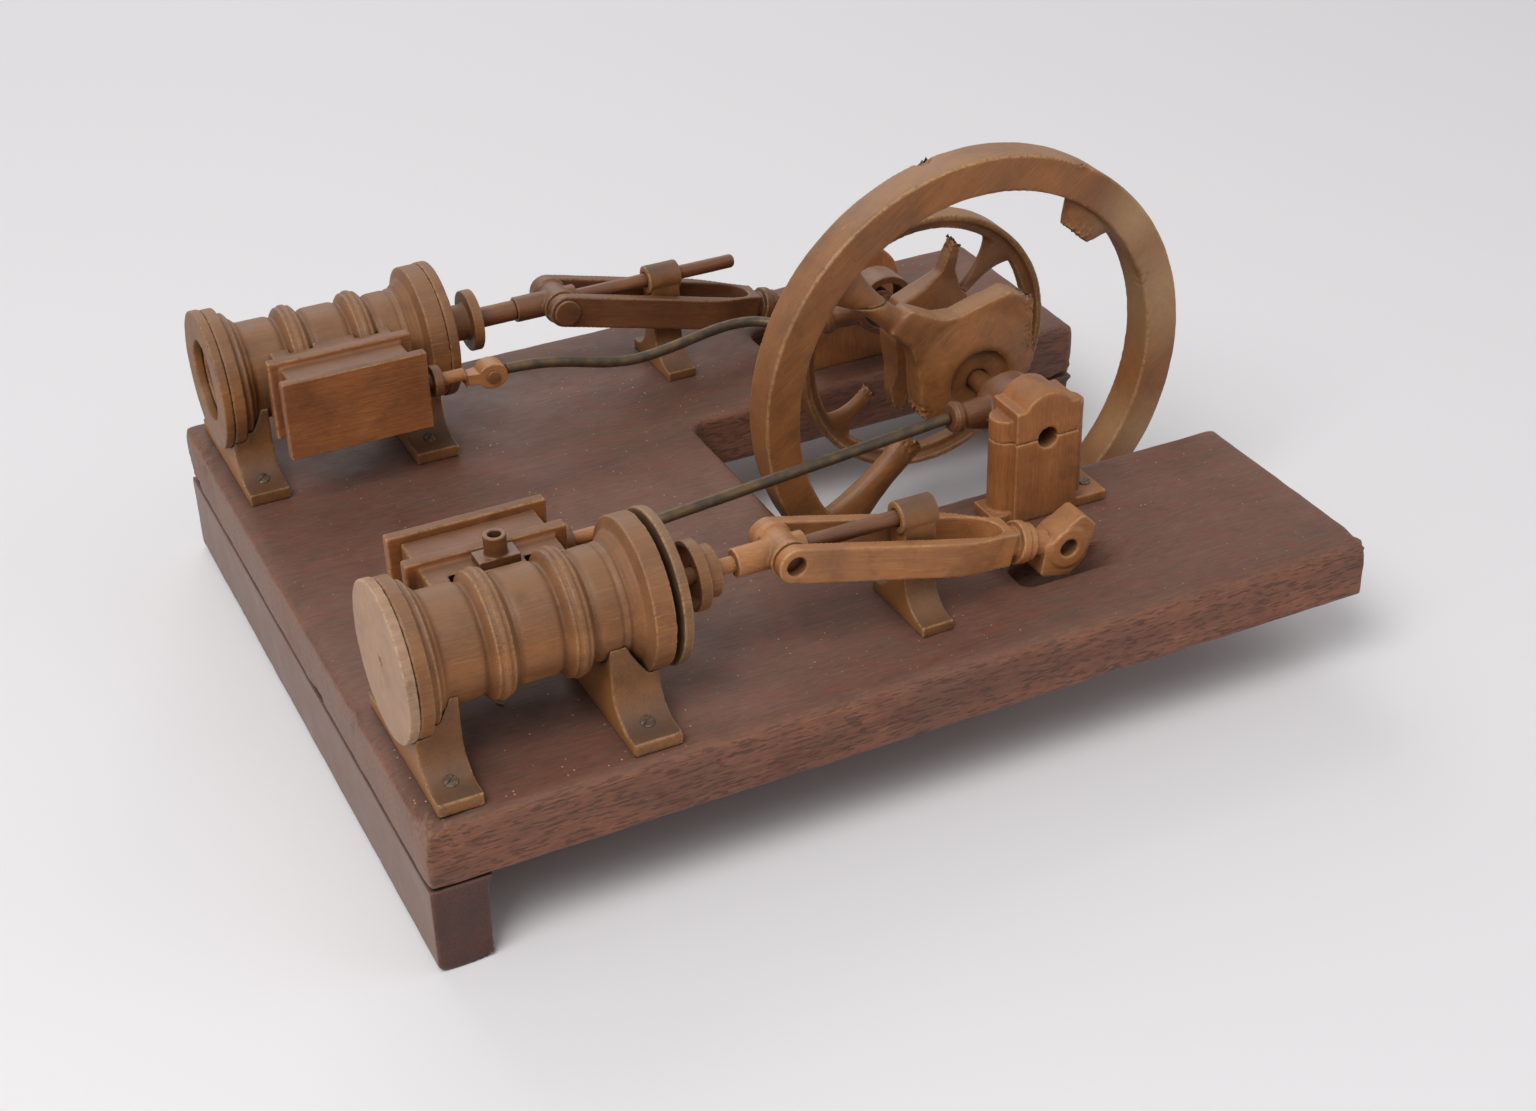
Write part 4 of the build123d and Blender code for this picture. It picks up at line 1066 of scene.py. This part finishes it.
@dataclass
class Studio:
    """A pale floor and backdrop, soft light and the camera."""

    eye_m: Vector = field(default_factory=lambda: Vector((-0.3188, -0.6890, 0.5015)))
    azimuth_deg: float = -25.42
    elevation_deg: float = 32.27
    roll_deg: float = -1.47
    focal_px: float = 2335.1
    photo_width_px: int = 1536
    sensor_mm: float = 36.0
    floor_m: float = 12.0

    def build(self) -> None:
        """Sets the floor, the light and the camera."""
        self.floor()
        self.lamps()
        self.camera()
        bpy.context.scene.view_settings.view_transform = "Standard"

    def floor(self) -> None:
        """A wide pale floor whose far edge is out of view."""
        bpy.ops.object.select_all(action="DESELECT")
        bpy.ops.mesh.primitive_plane_add(size=1, location=(0, 0, 0))
        floor = bpy.context.object
        floor.name = "studio_floor"
        floor.scale = (self.floor_m, self.floor_m, 1)
        bpy.ops.object.transform_apply(location=True, rotation=True, scale=True)
        made = bpy.data.materials.new("matt white card")
        made.use_nodes = True
        tree = made.node_tree
        tree.nodes.clear()
        skin = add_node(tree, "ShaderNodeBsdfPrincipled", {"Base Color": linear("#e2e0e1"), "Roughness": 0.9})
        add_node(tree, "ShaderNodeOutputMaterial", {"Surface": skin.outputs[0]})
        floor.data.materials.append(made)

    def lamps(self) -> None:
        """A broad lamp from the upper left, a weaker one from the right, and an even sky."""
        for name, place, size, watts in (
            ("key lamp", (-0.9, -0.7, 1.6), 1.0, 25.0),
            ("fill lamp", (1.3, -0.9, 1.1), 1.2, 3.5),
            ("back lamp", (0.2, 1.9, 1.5), 1.6, 15.0),
        ):
            data = bpy.data.lights.new(name, "AREA")
            data.size = size
            data.energy = watts
            lamp = bpy.data.objects.new(name, data)
            bpy.context.scene.collection.objects.link(lamp)
            lamp.location = place
            lamp.rotation_euler = (-Vector(place)).to_track_quat("-Z", "Y").to_euler()
        world = bpy.data.worlds.new("studio sky")
        bpy.context.scene.world = world
        world.use_nodes = True
        tree = world.node_tree
        tree.nodes.clear()
        path = add_node(tree, "ShaderNodeLightPath").outputs
        seen = add_node(
            tree, "ShaderNodeMath", {0: path["Is Camera Ray"], 1: path["Is Glossy Ray"]}, operation="MAXIMUM"
        ).outputs[0]
        light = add_node(tree, "ShaderNodeBackground", {"Color": linear("#f3f3f5"), "Strength": 0.42}).outputs[0]
        sight = add_node(tree, "ShaderNodeBackground", {"Color": linear("#e3e2e2"), "Strength": 1.0}).outputs[0]
        mixed = add_node(tree, "ShaderNodeMixShader", {0: seen, 1: light, 2: sight}).outputs[0]
        add_node(tree, "ShaderNodeOutputWorld", {"Surface": mixed})

    def camera(self) -> None:
        """The camera at the photograph's place, angle and field of view."""
        az, el, roll = (math.radians(a) for a in (self.azimuth_deg, self.elevation_deg, self.roll_deg))
        back = Vector((math.sin(az) * math.cos(el), -math.cos(az) * math.cos(el), math.sin(el)))
        right = Vector((math.cos(az), math.sin(az), 0))
        up = back.cross(right)
        right_turned = math.cos(roll) * right + math.sin(roll) * up
        up_turned = math.cos(roll) * up - math.sin(roll) * right
        data = bpy.data.cameras.new("photo camera")
        data.sensor_width = self.sensor_mm
        data.lens = self.focal_px / self.photo_width_px * self.sensor_mm
        data.clip_start = 0.01
        camera = bpy.data.objects.new("photo camera", data)
        bpy.context.scene.collection.objects.link(camera)
        axes = Matrix((right_turned, up_turned, back)).transposed().to_4x4()
        camera.matrix_world = Matrix.Translation(self.eye_m) @ axes
        bpy.context.scene.camera = camera


def main() -> None:
    """Loads the frame, dresses it piece by piece and sets the studio round it."""
    logging.basicConfig(level=logging.INFO)
    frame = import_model()
    workshop = Workshop(frame)
    Baseboard().build(workshop)
    EngineSide("near", PEAR_RAW, PEAR_COVER).build(workshop)
    EngineSide("far", PEAR_CYLINDER, PEAR_CYLINDER).build(workshop)
    ShaftSet().build(workshop)
    Studio().build()
    triangles = sum(len(p.vertices) - 2 for o in bpy.data.objects if o.type == "MESH" for p in o.data.polygons)
    log.info("triangles %s", triangles)


if __name__ == "__main__":
    main()
